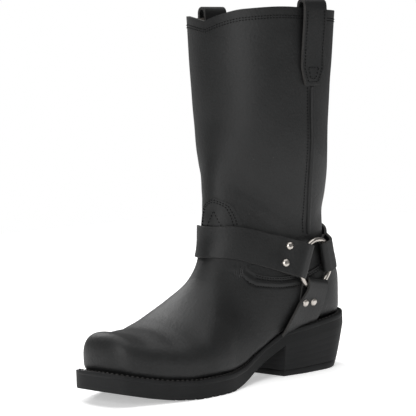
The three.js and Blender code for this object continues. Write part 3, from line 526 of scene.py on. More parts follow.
    def vamp_roll(self, point):
        """The padded roll that follows the vamp's top edge, with its grooves along the stitches"""
        x, y, z = np.moveaxis(point, -1, 0)
        below = (self.vamp_z(y) - z) / self.vamp_slant(y)
        rise = sum(ridge["rise"] * MM
                   * np.exp(-((below - ridge["below"] * MM) / (ridge["width"] * MM)) ** 2)
                   for ridge in VAMP_RIDGES)
        fore = smooth_step(y, 0, -self.ROLL_FADE) * smooth_step(np.abs(x), *self.ROLL_SIDES)
        return np.where(below > 0, fore * rise, 0.0)

    def rim_z(self, point):
        """The collar's height at a place"""
        s = self.s
        x, ahead = point[..., 0], s.shaft_centre - point[..., 1]
        share = np.clip(np.abs(x) / s.rim_dip_half, 0, 1)
        dip = np.where(ahead > 0, s.rim_dip * (1 - share) ** self.DIP_POWER, 0)
        front = np.exp(-((ahead - self.SWELL_REACH) / self.SWELL_REACH) ** 2)
        side = mix(-self.INNER_DROP, 1, smooth_step(x, *self.SWELL_SIDES))
        return s.rim_height - dip + s.rim_swell * front * side

    def rim_row(self, turn):
        """The row at which each column of the skin meets the rim"""
        low = np.full_like(turn, self.last_row - self.RIM_ROWS)
        high = np.full_like(turn, float(self.last_row))
        for _ in range(self.RIM_HALVINGS):
            half = (low + high) / 2
            point = self.last_point(half, turn)
            under = point[..., 2] < self.rim_z(point)
            low, high = np.where(under, half, low), np.where(under, high, half)
        return (low + high) / 2

    def vamp_z(self, y):
        return self.s.rim_height * run_through(VAMP_EDGE, "at", "up", self.share_of(y))

    def vamp_slant(self, y):
        """Height over distance square to the vamp's edge"""
        small = 0.001
        slope = (self.vamp_z(y + small) - self.vamp_z(y - small)) / (2 * small)
        return np.sqrt(1 + slope * slope)

    def vamp_covers(self, point):
        s = self.s
        x, y, z = np.moveaxis(point, -1, 0)
        half = s.ball_width * run_through(TONGUE_ROWS, "up", "half", z / s.rim_height)
        across = np.abs(x - TONGUE_SWING * s.ball_width) < half
        under_strap = (z < UNDER_STRAP * s.rim_height) & (y < self.place_y(TONGUE_FRONT))
        return (z < self.vamp_z(y)) | (across & under_strap)

    def vamp_row(self, turn):
        """The row at which each column of the skin leaves the vamp"""
        rows = np.linspace(1, self.last_row, self.VAMP_ROWS)
        inside = self.vamp_covers(self.last_point(rows[:, None], turn[None, :]))
        last = len(rows) - 1 - np.argmax(inside[::-1], axis=0)
        low, high = rows[last], rows[np.minimum(last + 1, len(rows) - 1)]
        for _ in range(self.VAMP_HALVINGS):
            half = (low + high) / 2
            inside = self.vamp_covers(self.last_point(half, turn))
            low, high = np.where(inside, half, low), np.where(inside, high, half)
        return (low + high) / 2


# Mesh helpers


def mapped_sheet(points, merge=1e-6):
    """A grid whose vertices take the places in an array of rows and columns"""
    points = np.array(points)
    rows, columns = points.shape[:2]
    bm = bmesh.new()
    made = bmesh.ops.create_grid(bm, x_segments=columns - 1, y_segments=rows - 1, size=1)["verts"]
    for vertex in made:
        column = round((vertex.co.x + 1) / 2 * (columns - 1))
        row = round((vertex.co.y + 1) / 2 * (rows - 1))
        vertex.co = points[row, column]
    bmesh.ops.remove_doubles(bm, verts=bm.verts, dist=merge)
    return bm


def close_up(bm):
    """Merges the places of a closed mesh that meet and turns its faces outwards"""
    bmesh.ops.remove_doubles(bm, verts=bm.verts, dist=1e-6)
    bmesh.ops.recalc_face_normals(bm, faces=bm.faces)
    return bm


def spun(bm, steps):
    """Spins a mesh's edges once round the third axis"""
    bmesh.ops.spin(bm, geom=bm.verts[:] + bm.edges[:], cent=(0, 0, 0), axis=(0, 0, 1),
                   angle=2 * math.pi, steps=steps, use_merge=True)
    return close_up(bm)


def leg_axis(point):
    """A point well inside the boot, level with a place on its skin"""
    return Vector((0, min(max(point.y, -0.19), -0.03), point.z if point.z > 0.06 else 0.045))


def face_outwards(bm):
    """Turns the faces of an open sheet away from the leg"""
    bm.normal_update()
    votes = 0
    for face in bm.faces:
        middle = face.calc_center_median()
        votes += face.normal.dot(middle - leg_axis(middle)) * face.calc_area()
    if votes < 0:
        bmesh.ops.reverse_faces(bm, faces=bm.faces)


def face_outwards_near(bm, place):
    """Turns a sheet so that its face nearest to a place looks away from the leg"""
    bm.normal_update()
    near = min(bm.faces, key=lambda face: (face.calc_center_median() - place).length)
    if near.normal.dot(near.calc_center_median() - leg_axis(place)) < 0:
        bmesh.ops.reverse_faces(bm, faces=bm.faces)


def piece(name, bm, finishes, nodes=()):
    """Makes an object of a finished bmesh, riding on the boot"""
    mesh = bpy.data.meshes.new(name)
    bm.to_mesh(mesh)
    bm.free()
    for finish in finishes:
        mesh.materials.append(finish_of(finish))
    mesh.polygons.foreach_set("use_smooth", [True] * len(mesh.polygons))
    made = bpy.data.objects.new(name, mesh)
    bpy.context.scene.collection.objects.link(made)
    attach(made, "root")
    if nodes:
        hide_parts(*nodes)
    return made


def thicken(made, thickness):
    """Gives a sheet its thickness, with the second material on its cut edges"""
    wall = made.modifiers.new("Thickness", "SOLIDIFY")
    wall.thickness = thickness
    wall.offset = -1
    wall.material_offset_rim = 1
    return wall


def round_edges(made, width):
    bevel = made.modifiers.new("Edges", "BEVEL")
    bevel.width = width
    bevel.segments = 2
    bevel.limit_method = "ANGLE"
    bevel.angle_limit = math.radians(40)
    bevel.harden_normals = True


def leather_piece(name, bm, thickness, round_by, nodes=()):
    """A piece of leather from its outer face, with its thickness and soft cut edges"""
    made = piece(name, bm, ["leather", "edge"], nodes)
    thicken(made, thickness)
    round_edges(made, round_by)
    return made


class Surface:
    """The outside of some pieces, for rays to land on"""

    def __init__(self, *pieces):
        depsgraph = bpy.context.evaluated_depsgraph_get()
        points, faces, self.normals = [], [], []
        for made in pieces:
            shown = made.evaluated_get(depsgraph)
            mesh = shown.to_mesh()
            first = len(points)
            points += [vertex.co.copy() for vertex in mesh.vertices]
            self.normals += [vertex.normal.copy() for vertex in mesh.vertices]
            faces += [[first + k for k in polygon.vertices] for polygon in mesh.polygons]
            shown.to_mesh_clear()
        self.points, self.faces = points, faces
        self.tree = BVHTree.FromPolygons(points, faces)

    def land(self, origin, direction):
        """Where a ray lands, and the smooth outward direction there"""
        direction = Vector(direction).normalized()
        place, flat, index, _ = self.tree.ray_cast(Vector(origin), direction)
        if place is None:
            raise ValueError("a ray missed the boot")
        normal = Vector()
        for k in self.faces[index]:
            weight = 1 / ((self.points[k] - place).length + 1e-5)
            normal += self.normals[k] * weight
        normal.normalize()
        return place, normal if normal.dot(flat) > 0 else flat


def land_at_turn(surface, degrees, z):
    """A landing from outside at a turn about the leg, from the front towards +X, at a height"""
    turn = math.radians(degrees)
    way = Vector((math.sin(turn), -math.cos(turn), 0))
    return surface.land(Vector((0, AXIS_Y, z)) + way * FAR, -way)


def land_from_side(surface, side, y, z):
    return surface.land((side * FAR, y, z), (-side, 0, 0))


def land_from_front(surface, x, z):
    return surface.land((x, -FAR, z), (0, 1, 0))


def turn_of(place):
    """Degrees about the leg, from the front towards +X"""
    return math.degrees(math.atan2(place.x, -(place.y - AXIS_Y)))


# Materials: arithmetic on sockets, and one method for every other node


class Link:
    """An output socket with the arithmetic of Math nodes"""

    def __init__(self, board, socket):
        self.board, self.socket = board, socket

    def maths(self, operation, first, second=0.0):
        return self.board.node("Math", {"operation": operation}, {0: first, 1: second})

    def __add__(self, other):
        return self.maths("ADD", self, other)

    __radd__ = __add__

    def __mul__(self, other):
        return self.maths("MULTIPLY", self, other)

    __rmul__ = __mul__


class Board:
    """A material's node tree"""

    def __init__(self, name):
        self.material = bpy.data.materials.new(name)
        self.material.use_nodes = True
        self.tree = self.material.node_tree
        self.tree.nodes.clear()

    def feed(self, socket, value):
        if isinstance(value, Link):
            self.tree.links.new(value.socket, socket)
        else:
            socket.default_value = value

    def node(self, kind, settings=None, sockets=None, output=0):
        made = self.tree.nodes.new("ShaderNode" + kind)
        for key, value in (settings or {}).items():
            if key == "stops":
                self.set_stops(made.color_ramp, value)
            else:
                setattr(made, key, value)
        for key, value in (sockets or {}).items():
            self.feed(made.inputs[key], value)
        return Link(self, made.outputs[output]) if made.outputs else made

    def set_stops(self, ramp, stops):
        while len(ramp.elements) < len(stops):
            ramp.elements.new(0.5)
        for element, (position, value) in zip(ramp.elements, stops):
            element.position = position
            element.color = (value, value, value, 1)

    def place(self, scale=(1, 1, 1)):
        where = self.node("TexCoord", output="Object")
        return self.node("Mapping", None, {"Vector": where, "Scale": scale})

    def noise(self, where, scale, detail=3.0, roughness=0.5):
        return self.node("TexNoise", None, {
            "Vector": where, "Scale": scale, "Detail": detail, "Roughness": roughness})

    def cells(self, where, scale, feature="F1"):
        return self.node("TexVoronoi", {"feature": feature}, {"Vector": where, "Scale": scale},
                         output="Distance")

    def ramp(self, value, stops):
        return self.node("ValToRGB", {"stops": stops}, {"Fac": value})

    def blend(self, share, first, second):
        return self.node("Mix", {"data_type": "RGBA"}, {0: share, 6: first, 7: second}, output=2)

    def mottled(self, rgb, mask, ends, dark, light):
        """A colour made darker and lighter, as a mask runs between two ends"""
        share = self.ramp(mask, [(ends[0], 0.0), (ends[1], 1.0)])
        return self.blend(share, tone(rgb, dark), tone(rgb, light))

    def bump(self, height, strength, distance, normal=None):
        sockets = {"Strength": strength, "Distance": distance, "Height": height}
        if normal is not None:
            sockets["Normal"] = normal
        return self.node("Bump", None, sockets, output="Normal")

    def surface(self, **sockets):
        named = {key.replace("_", " "): value for key, value in sockets.items()}
        shader = self.node("BsdfPrincipled", None, named)
        self.node("OutputMaterial", None, {"Surface": shader})
        return self.material


def tone(rgb, factor=1.0):
    return (*[min(1.0, channel * factor) for channel in rgb], 1.0)


def oiled_leather(name, rgb):
    """Matte oiled leather: soft mottling, fine pores and wrinkles"""
    board = Board(name)
    where = board.place()
    cloud = board.noise(where, 34, 4, 0.55)
    patch = board.noise(where, 11, 2, 0.5)
    pores = board.cells(where, 900)
    grain = board.noise(where, 1500, 4, 0.6)
    mottle = board.noise(where, 520, 5, 0.7)
    wrinkle = board.cells(where, 420, "SMOOTH_F1")
    speck = board.ramp(board.cells(where, 95), [(0.0, 1.0), (0.035, 0.0)])
    share = board.ramp(cloud * 0.35 + patch * 0.25 + mottle * 0.4, [(0.34, 0.0), (0.68, 1.0)])
    base = board.blend(share, tone(rgb, 0.55), tone((rgb[0] * 1.02, rgb[1], rgb[2] * 0.98), 1.50))
    base = board.blend(speck * 0.30, base, tone((0.30, 0.27, 0.25)))
    rough = 0.42 + cloud * 0.10 + grain * 0.10
    fine = board.bump(pores * 0.5 + grain * 0.6, 0.30, 0.00018)
    soft = board.bump(wrinkle + mottle * 1.2 + cloud * 1.5, 0.30, 0.0005, fine)
    return board.surface(Base_Color=base, Roughness=rough, Normal=soft, IOR=1.38)


def cut_edge(name, rgb):
    """The fibrous cut edge of thick leather"""
    board = Board(name)
    where = board.place()
    fibre = board.noise(where, 1300, 4, 0.7)
    patch = board.noise(where, 90, 3, 0.5)
    base = board.mottled(rgb, fibre * 0.5 + patch * 0.5, (0.30, 0.70), 0.45, 1.25)
    return board.surface(Base_Color=base, Roughness=0.70 + fibre * 0.2,
                         Normal=board.bump(fibre, 0.5, 0.0003))


def waxed_thread(name, rgb):
    """Twisted waxed thread"""
    board = Board(name)
    where = board.place()
    twist = board.noise(where, 1800, 2, 0.5)
    base = board.blend(twist, tone(rgb, 0.6), tone(rgb, 1.5))
    return board.surface(Base_Color=base, Roughness=0.70 + twist * 0.2, IOR=1.25,
                         Normal=board.bump(twist, 0.4, 0.0001))


def lining_leather(name, rgb):
    """Unfinished lining leather with a short nap"""
    board = Board(name)
    where = board.place()
    nap = board.noise(where, 700, 5, 0.65)
    patch = board.noise(where, 25, 3, 0.5)
    base = board.mottled(rgb, nap * 0.5 + patch * 0.5, (0.30, 0.70), 0.72, 1.18)
    return board.surface(Base_Color=base, Roughness=0.82 + nap * 0.12,
                         Normal=board.bump(nap, 0.5, 0.0003), Sheen_Weight=0.15)


def sole_rubber(name, rgb):
    """Matte black sole edge with fine level streaks"""
    board = Board(name)
    streaks = board.noise(board.place((55, 55, 1500)), 1, 4, 0.6)
    where = board.place()
    fine = board.noise(where, 1100, 3, 0.6)
    patch = board.noise(where, 45, 3, 0.5)
    base = board.mottled(rgb, patch * 0.45 + streaks * 0.55, (0.32, 0.70), 0.72, 1.32)
    relief = board.bump(streaks * 0.7 + fine * 0.3, 0.45, 0.0003)
    return board.surface(Base_Color=base, Roughness=0.60 + fine * 0.18, Normal=relief, IOR=1.33)


def plated_metal(name, rgb):
    """Polished nickel with faint handling marks"""
    board = Board(name)
    where = board.place()
    smudge = board.noise(where, 160, 4, 0.6)
    marks = board.noise(board.place((400, 2400, 400)), 1, 3, 0.6)
    base = board.blend(smudge, tone(rgb, 0.88), tone(rgb, 1.06))
    rough = board.ramp(smudge, [(0.35, 0.24), (0.75, 0.36)])
    return board.surface(Base_Color=base, Metallic=1.0, Roughness=rough,
                         Normal=board.bump(marks, 0.10, 0.0001))


def studio_paper(name, rgb):
    """Plain pale paper"""
    board = Board(name)
    fibre = board.noise(board.place(), 300, 3, 0.5)
    base = board.blend(fibre, tone(rgb, 0.99), tone(rgb, 1.01))
    return board.surface(Base_Color=base, Roughness=0.9, Emission_Color=(1, 1, 1, 1),
                         Emission_Strength=0.42)


RECIPES = {
    "leather": oiled_leather, "edge": cut_edge, "thread": waxed_thread, "welt_thread": waxed_thread,
    "lining": lining_leather, "sole": sole_rubber, "heel": sole_rubber,
    "metal": plated_metal, "floor": studio_paper,
}


def finish_of(name):
    """The material of a name, made at its first use"""
    known = bpy.data.materials.get("boot_" + name)
    if known:
        return known
    return RECIPES[name]("boot_" + name, tuple(getattr(bpy.context.scene.boot_colours, name)))


# Pieces

# Columns round the upper, and rows over the toe's rounding and over a span of the tables
TURNS = np.linspace(-math.pi, math.pi, 241)
CAP_ROWS, SPAN_ROWS = 18, 7
# The rows under the collar that bend to its line, and the spans and rows that the vamp takes
COLLAR_ROWS, VAMP_SPANS, VAMP_SPAN_ROWS, VAMP_CROWD = 4.0, 13, 8, 1.5
# Depths of the leather's lower edges under the welt's top, and the room under a layer
UPPER_SINK, VAMP_SINK, LAYER_ROOM = 0.003, 0.002, 0.0001


def skin_rows(last, spans, span_rows=SPAN_ROWS, crowd=1.0):
    """Rows from the toe's tip through its rounding to a last row, with one for each column"""
    cap = np.linspace(0.02, 1, CAP_ROWS + 1)[:-1]
    body = 1 - (1 - np.linspace(0, 1, spans * span_rows + 1)) ** crowd
    cap = np.repeat(cap[:, None], len(last), 1)
    return np.concatenate([cap, 1 + body[:, None] * (last[None, :] - 1)])


def skin_sheet(form, rows, offset, depth):
    """A sheet over the skin from the toe's tip to a last row, open under the welt's top"""
    points = form.skin(rows, TURNS[None, :], np.full(rows.shape, offset))
    points[0] = points[0].mean(0) + np.array([0, -offset * 0.2, 0])
    bm = mapped_sheet(points)
    open_bottom(bm, form, depth)
    face_outwards(bm)
    return bm


def open_bottom(bm, form, depth):
    """Takes away what is deeper than a depth under the welt's top, and levels its edge"""
    def level(point):
        return float(form.welt_top(form.share_within(point.y))) - depth
    sunk = {vertex for vertex in bm.verts if vertex.co.z < level(vertex.co)}
    gone = [face for face in bm.faces if all(vertex in sunk for vertex in face.verts)]
    bmesh.ops.delete(bm, geom=gone, context="FACES")
    for vertex in bm.verts:
        vertex.co.z = max(vertex.co.z, level(vertex.co))


def make_upper(form):
    """The leather and its lining, from the welt to the collar"""
    last = form.last_row
    start = last - COLLAR_ROWS
    rows = skin_rows(np.full_like(TURNS, float(last)), last - 1)
    share = np.clip((rows - start) / COLLAR_ROWS, 0, None)
    rows = np.where(rows > start, start + share * (form.rim_row(TURNS)[None, :] - start), rows)
    bm = skin_sheet(form, rows, 0.0, UPPER_SINK)
    made = piece("upper_leather", bm, ["leather", "edge", "lining"], ["upper"])
    thicken(made, form.s.wall).material_offset = 2
    round_edges(made, 0.0005)
    return made


def make_vamp(form):
    """The vamp and the counter, one layer over the upper"""
    rows = skin_rows(form.vamp_row(TURNS), VAMP_SPANS, VAMP_SPAN_ROWS, VAMP_CROWD)
    bm = skin_sheet(form, rows, form.s.vamp_step, VAMP_SINK)
    return leather_piece("vamp", bm, form.s.vamp_step - LAYER_ROOM, 0.00035)


def make_tongue(form, skin):
    """The vamp's peak up the front of the shaft, from under the front strap"""
    s = form.s
    rows = []
    for share in np.linspace(0, 1, 34) ** 0.8:
        up = mix(TONGUE_ROWS[0]["up"], TONGUE_ROWS[-1]["up"], share)
        half = s.ball_width * float(run_through(TONGUE_ROWS, "up", "half", up))
        row = []
        for across in np.linspace(-1, 1, 25):
            x = TONGUE_SWING * s.ball_width + across * half
            place, normal = land_from_front(skin, x, up * s.rim_height)
            row.append(place + normal * (s.vamp_step - 0.00003))
        rows.append(row)
    bm = mapped_sheet(rows)
    face_outwards(bm)
    return leather_piece("tongue", bm, s.vamp_step - LAYER_ROOM, 0.00035)


# Harness


def ring_frame(side_name):
    """The middle of a ring's solid, with its outward, level and third directions"""
    side = SIDES[side_name]
    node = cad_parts["ring_" + side_name]
    points = np.array([vertex.co for vertex in node.data.vertices])
    middle = (points.max(0) + points.min(0)) / 2
    spread = np.linalg.eigh(np.cov((points - points.mean(0)).T))
    outward = Vector(spread[1][:, 0])
    if outward.x * side < 0:
        outward.negate()
    level = Vector((0, 1, 0))
    level = (level - outward * level.dot(outward)).normalized()
    third = outward.cross(level)
    return Matrix.Translation(Vector(middle)) @ Matrix((outward, level, third)).transposed().to_4x4()


def make_ring(form, side_name):
    """A ring of round wire"""
    s = form.s
    bm = bmesh.new()
    wire = bmesh.ops.create_circle(bm, segments=18, radius=s.ring_wire / 2)["verts"]
    bmesh.ops.rotate(bm, verts=wire, cent=(0, 0, 0), matrix=Matrix.Rotation(math.pi / 2, 3, "X"))
    bmesh.ops.translate(bm, verts=wire, vec=(s.ring_radius - s.ring_wire / 2, 0, 0))
    spun(bm, 72)
    turned = ring_frame(side_name) @ Matrix.Rotation(math.pi / 2, 4, "Y")
    bmesh.ops.transform(bm, verts=bm.verts, matrix=turned)
    return piece("harness_ring_" + side_name, bm, ["metal"], ["ring_" + side_name])


SHARES_ACROSS = np.linspace(0, 1, 13)


class StrapEnd:
    """A strap's end folded round the wire of a ring"""

    UNDER_LINES, FOLD_LINES, TOP_LINES = 9, 13, 26
    UNDER_SHORT, UNDER_SETTLE, WIRE_ROOM = 0.004, 0.008, 0.0001

    def __init__(self, form, skin, side_name, kind):
        s, end, side = form.s, STRAP_ENDS[kind], SIDES[side_name]
        self.form, self.skin, self.kind = form, skin, kind
        self.frame = ring_frame(side_name)
        self.outward = self.frame.to_3x3() @ Vector((1, 0, 0))
        angle = math.radians(end["heading"])
        self.away = Vector((0, math.cos(angle), side * math.sin(angle)))
        self.across = Vector((0, -math.sin(angle), side * math.cos(angle)))
        self.radius = s.ring_radius
        self.middle, self.half = end["swing"] * self.radius, end["half"] * self.radius
        self.fold = end["start"] * self.radius
        self.end = self.fold + end["length"] * self.radius
        self.nose = s.ring_wire / 2 + s.strap_thickness + self.WIRE_ROOM
        self.wire_end = self.radius - s.fit

    def across_at(self, out, share):
        """The distance across at a share from the first edge to the last"""
        low, high = self.middle - self.half, self.middle + self.half
        if self.kind == "low":
            low, high = [self.radius * float(run_through(LOW_STRAP_ROWS, "out", edge, out / self.radius))
                         for edge in ("front", "rear")]
        return mix(high, low, share) if self.kind == "front" else mix(low, high, share)

    def in_plane(self, out, across, height):
        return self.frame @ (self.away * out + self.across * across + Vector((height, 0, 0)))

    def landed(self, out, across):
        return self.skin.land(self.in_plane(out, across, 0.1), -self.outward)

    def top(self, out, share):
        """The strap's outer face over the wire and down to the leather"""
        across = self.across_at(out, share)
        place, normal = self.landed(out, across)
        lift = 0.0
        if self.kind == "low":
            along = (out - self.wire_end) / (LIFT_LENGTH * self.radius)
            fade = max(0.0, 1 - share / LIFT_ACROSS) ** LIFT_POWER
            lift = LOW_STRAP_LIFT * fade * math.sin(math.pi * min(max(along, 0.0), 1.0))
        settled = place + normal * (self.form.s.strap_height + lift)
        free = self.in_plane(out, across, self.nose)
        return free.lerp(settled, float(smooth_step(out, self.wire_end - 0.003, self.end)))

    def lines(self):
        """Lines across the strap from under the fold, round it and out along the top"""
        lines = []
        bend = self.fold + self.nose
        for out in np.linspace(self.end - self.UNDER_SHORT, bend, self.UNDER_LINES)[:-1]:
            free = float(smooth_step(out, bend + self.UNDER_SETTLE, bend))
            line = []
            for share in SHARES_ACROSS:
                across = self.across_at(bend, share)
                place, normal = self.landed(out, across)
                under = place + normal * self.form.s.fit
                line.append(under.lerp(self.in_plane(out, across, -self.nose), free))
            lines.append(line)
        for turn in np.linspace(-math.pi / 2, math.pi / 2, self.FOLD_LINES):
            out, height = bend - self.nose * math.cos(turn), self.nose * math.sin(turn)
            lines.append([self.in_plane(out, self.across_at(bend, share), height)
                          for share in SHARES_ACROSS])
        for out in np.linspace(bend, self.end, self.TOP_LINES)[1:]:
            lines.append([self.top(out, share) for share in SHARES_ACROSS])
        return lines

    def rests(self):
        """Turn and height of the two edges where the end meets the run"""
        places = [self.landed(self.end, self.across_at(self.end, share))[0] for share in (0.0, 1.0)]
        return [(turn_of(place), place.z) for place in places]


def strap_run(form, skin, rows, end, lead):
    """Lines over the leather from a turn about the leg to a strap's end"""
    def height(column, turn):
        return form.s.rim_height * float(run_through(rows, "turn", column, abs(turn)))
    rests = end.rests()
    lines = []
    for q in np.linspace(0, 1, 60):
        edges = []
        for (turn_end, z_end), column in zip(rests, ("low", "high")):
            turn = mix(lead, turn_end, q)
            joined = float(smooth_step(q, 0.35, 1))
            edges.append((turn, height(column, turn) + (z_end - height(column, turn_end)) * joined))
        line = []
        for share in SHARES_ACROSS:
            turn, z = [mix(low, high, share) for low, high in zip(*edges)]
            place, normal = land_at_turn(skin, turn, z)
            line.append(place + normal * form.s.strap_height)
        lines.append(line)
    return lines


def strap_piece(form, name, lines):
    """A strap from its lines, in place of the solid of its own name"""
    bm = mapped_sheet(lines, merge=2e-5)
    inner = [vertex for vertex in bm.verts if not vertex.is_boundary]
    for _ in range(2):
        bmesh.ops.smooth_vert(bm, verts=inner, factor=0.4, use_axis_x=True, use_axis_y=True,
                              use_axis_z=True)
    face_outwards_near(bm, lines[len(lines) // 2][len(SHARES_ACROSS) // 2])
    return leather_piece(name, bm, form.s.strap_thickness, 0.0004, [name])


def make_wrap_strap(form, skin, kind, rows, lead):
    """The front or the back strap, with a folded end on each ring"""
    ends = [StrapEnd(form, skin, side_name, kind) for side_name in SIDES]
    outer, inner = [strap_run(form, skin, rows, end, lead * side)
                    for end, side in zip(ends, SIDES.values())]
    lines = ends[0].lines() + outer[::-1][1:] + inner[1:-1] + ends[1].lines()[::-1]
    return strap_piece(form, "strap_" + kind, lines)


def make_low_strap(form, skin, side_name):
    """A strap from a ring down to the welt"""
    end = StrapEnd(form, skin, side_name, "low")
    stops = []
    for share in SHARES_ACROSS:
        low, high = end.end, end.end + LOW_STRAP_REACH
        for _ in range(14):
            half = (low + high) / 2
            place = end.in_plane(half, end.across_at(half, share), 0)
            over = place.z > float(form.welt_top(form.share_of(place.y))) + LOW_STRAP_ROOM
            low, high = (half, high) if over else (low, half)
        stops.append(low)
    lines = end.lines()
    for step in np.linspace(0, 1, 16)[1:]:
        lines.append([end.top(mix(end.end, stop, step), share)
                      for share, stop in zip(SHARES_ACROSS, stops)])
    return strap_piece(form, "strap_low_" + side_name, lines)


def make_rivet(form, surface, side_name, kind, row):
    """A domed head where a line level across the boot meets a strap"""
    s = form.s
    y, z = form.place_y(row["at"]), row["up"] * s.rim_height
    place, normal = land_from_side(surface, SIDES[side_name], y, z)
    bm = bmesh.new()
    profile = [bm.verts.new((across * s.rivet_radius, 0, rise * s.rivet_height))
               for across, rise in RIVET_PROFILE]
    for pair in zip(profile, profile[1:]):
        bm.edges.new(pair)
    spun(bm, 28)
    turn = Vector((0, 0, 1)).rotation_difference(normal).to_matrix().to_4x4()
    bmesh.ops.transform(bm, verts=bm.verts, matrix=Matrix.Translation(place) @ turn)
    node = "rivet_" + kind.replace("_", "_" + side_name + "_")
    return piece("rivet_head_" + side_name + "_" + kind, bm, ["metal"], [node])


# Sole and heel


BAND_STEPS = 300


def sole_band(form, profile):
    """A closed band round the sole, of insets and rises over the underside or the welt's top"""
    turn = np.linspace(0, 2 * math.pi, BAND_STEPS + 1) + math.pi / BAND_STEPS
    rows = []
    for inset, base, rise in profile:
        plan = form.outline(turn, np.full_like(turn, inset))
        rows.append(np.column_stack([plan, base(form.share_within(plan[:, 1])) + rise]))
    return close_up(mapped_sheet(rows + rows[:1]))


def firm_piece(name, bm, finish, node, degrees):
    """A piece of rubber, board or stacked leather, its edges sharp past an angle"""
    bm.normal_update()
    for edge in bm.edges:
        if len(edge.link_faces) == 2 and edge.calc_face_angle(0) > math.radians(degrees):
            edge.smooth = False
    return piece(name, bm, [finish], [node])


def make_welt(form):
    """The welt, with a rounded edge and the groove that its stitches lie in"""
    s = form.s
    corner, thick, groove = 0.0009, s.welt_thickness, 0.0004
    depths = [
        (s.welt_width, thick), (0.0, thick), (0.0, thick * 0.6), (0.0, corner),
        (corner * 0.3, corner * 0.3), (corner, 0), (0.0016, 0), (0.0021, groove), (0.0036, groove),
        (0.0041, 0), (0.0060, 0), (s.welt_width, 0),
    ]
    bm = sole_band(form, [(inset, form.welt_top, -depth) for inset, depth in depths])
    return piece("welt_strip", bm, ["sole"], ["welt"])


def make_insole(form):
    """The insole inside the boot: its solid's shape with soft edges"""
    bm = bmesh.new()
    bm.from_mesh(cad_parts["insole"].data)
    bmesh.ops.remove_doubles(bm, verts=bm.verts, dist=1e-6)
    bmesh.ops.dissolve_limit(bm, angle_limit=math.radians(1.0), verts=bm.verts, edges=bm.edges)
    sharp = [edge for edge in bm.edges if edge.calc_face_angle(0) > math.radians(50)]
    bmesh.ops.bevel(bm, geom=sharp, offset=0.0006, segments=2, profile=0.5, affect="EDGES",
                    material=-1, clamp_overlap=True)
    return firm_piece("insole_leather", bm, "lining", "insole", 40)


def tread_shares(form):
    """Shares of the sole's length at the edges of the tread's grooves, each with its depth"""
    s = form.s
    half, slope = s.tread_groove / 2, 0.0002
    count = math.floor((FLAT_END - FLAT_START) * s.sole_length / s.tread_pitch) + 4
    rows = []
    for i in range(count):
        y = form.place_y(FLAT_START) - (i - 0.5) * s.tread_pitch
        for away, depth in ((half, 0.0), (half - slope, 1.0), (slope - half, 1.0), (-half, 0.0)):
            rows.append((float(form.share_of(y + away)), depth))
    return rows


def make_outsole(form):
    """The plate with its tread, and the band that closes its side against the welt"""
    s = form.s
    grooves = tread_shares(form)
    spans = [(grooves[i][0] - 1e-4, grooves[i + 3][0] + 1e-4) for i in range(0, len(grooves), 4)]
    plain = [(1 - math.cos(turn)) / 2 for turn in np.linspace(0.001, math.pi - 0.001, 150)]
    plain = [(share, 0.0) for share in plain if not any(a < share < b for a, b in spans)]
    corner, nick, within, room = 0.0008, 0.0003, 0.0002, 0.0001
    rows = []
    for share, depth in sorted(plain + grooves):
        half = max(float(form.sole_half(share) * form.sole_ends(share)) - within, 0)
        centre, y = float(form.sole_swing(share)), form.place_y(share)
        under = float(form.underside(share))
        low = under + depth * s.tread_depth
        high = float(form.welt_top(share)) - s.welt_thickness - room
        foot = half - min(corner, half * 0.4)
        side = [(half, max(low, under + corner)), (half, mix(low, high, 0.4)),
                (half, mix(low, high, 0.8)), (half - nick, high - nick), (max(half - corner, 0), high)]
        around = [(x * foot, low) for x in np.linspace(-1, 1, 9)] + side
        around += [(x * half * 0.7, high) for x in np.linspace(1, -1, 5)[1:-1]]
        around += [(-x, z) for x, z in side[::-1]]
        rows.append([(centre + x, y, z) for x, z in around + around[:1]])
    points = np.array(rows)
    for end in (0, -1):
        points[end, :, 0] = points[end, :, 0].mean()
    bm = close_up(mapped_sheet(points))
    band = sole_band(form, [
        (0.012, form.underside, s.tread_depth), (0.0, form.underside, s.tread_depth),
        (0.0, form.underside, 0.006), (0.0, form.welt_top, -s.welt_thickness),
        (0.012, form.welt_top, -s.welt_thickness)])
    joined = bpy.data.meshes.new("band")
    band.to_mesh(joined)
    band.free()
    bm.from_mesh(joined)
    bpy.data.meshes.remove(joined)
    return firm_piece("outsole_plate", bm, "sole", "outsole", 35)


# The heel's bottom width as a share of its seat's, the power that it widens by, and its layers
HEEL_NARROW, HEEL_POWER, HEEL_LAYERS = 0.89, 0.8, 5


def heel_loop(form, rise, inset=0.0):
    """A level loop round the heel at a share of its height, closed along the breast"""
    s = form.s
    turns = np.linspace(0, math.pi, 400)
    turns = np.linspace(0, turns[form.edge_point(turns)[:, 1] > form.breast_y][-1], 60)
    half, swing = float(form.sole_half(form.breast)), float(form.sole_swing(form.breast))
    breast = [(mix(swing + half, swing - half, t), form.breast_y) for t in np.linspace(0, 1, 12)]
    plan = [*form.edge_point(turns), *breast, *form.edge_point(2 * math.pi - turns)[:0:-1]]
    spread = rise ** HEEL_POWER
    points = []
    for x, y in plan:
        back = (y - form.breast_y) / (form.sole_back - form.breast_y)
        top = float(form.underside(form.share_within(y))) + s.tread_depth
        low_y = form.breast_y + back * s.heel_bottom_length
        points.append((x * mix(HEEL_NARROW, 1, spread), mix(low_y, y, spread), top * rise))
    points = np.array(points)
    way = points[:, :2] - points[:, :2].mean(0)
    points[:, :2] -= way / np.linalg.norm(way, axis=1, keepdims=True) * inset
    return points


def stack_of_loops(loops):
    """A closed block through level loops"""
    bm = mapped_sheet([np.vstack([loop, loop[:1]]) for loop in loops])
    bmesh.ops.holes_fill(bm, edges=[edge for edge in bm.edges if edge.is_boundary], sides=0)
    return close_up(bm)


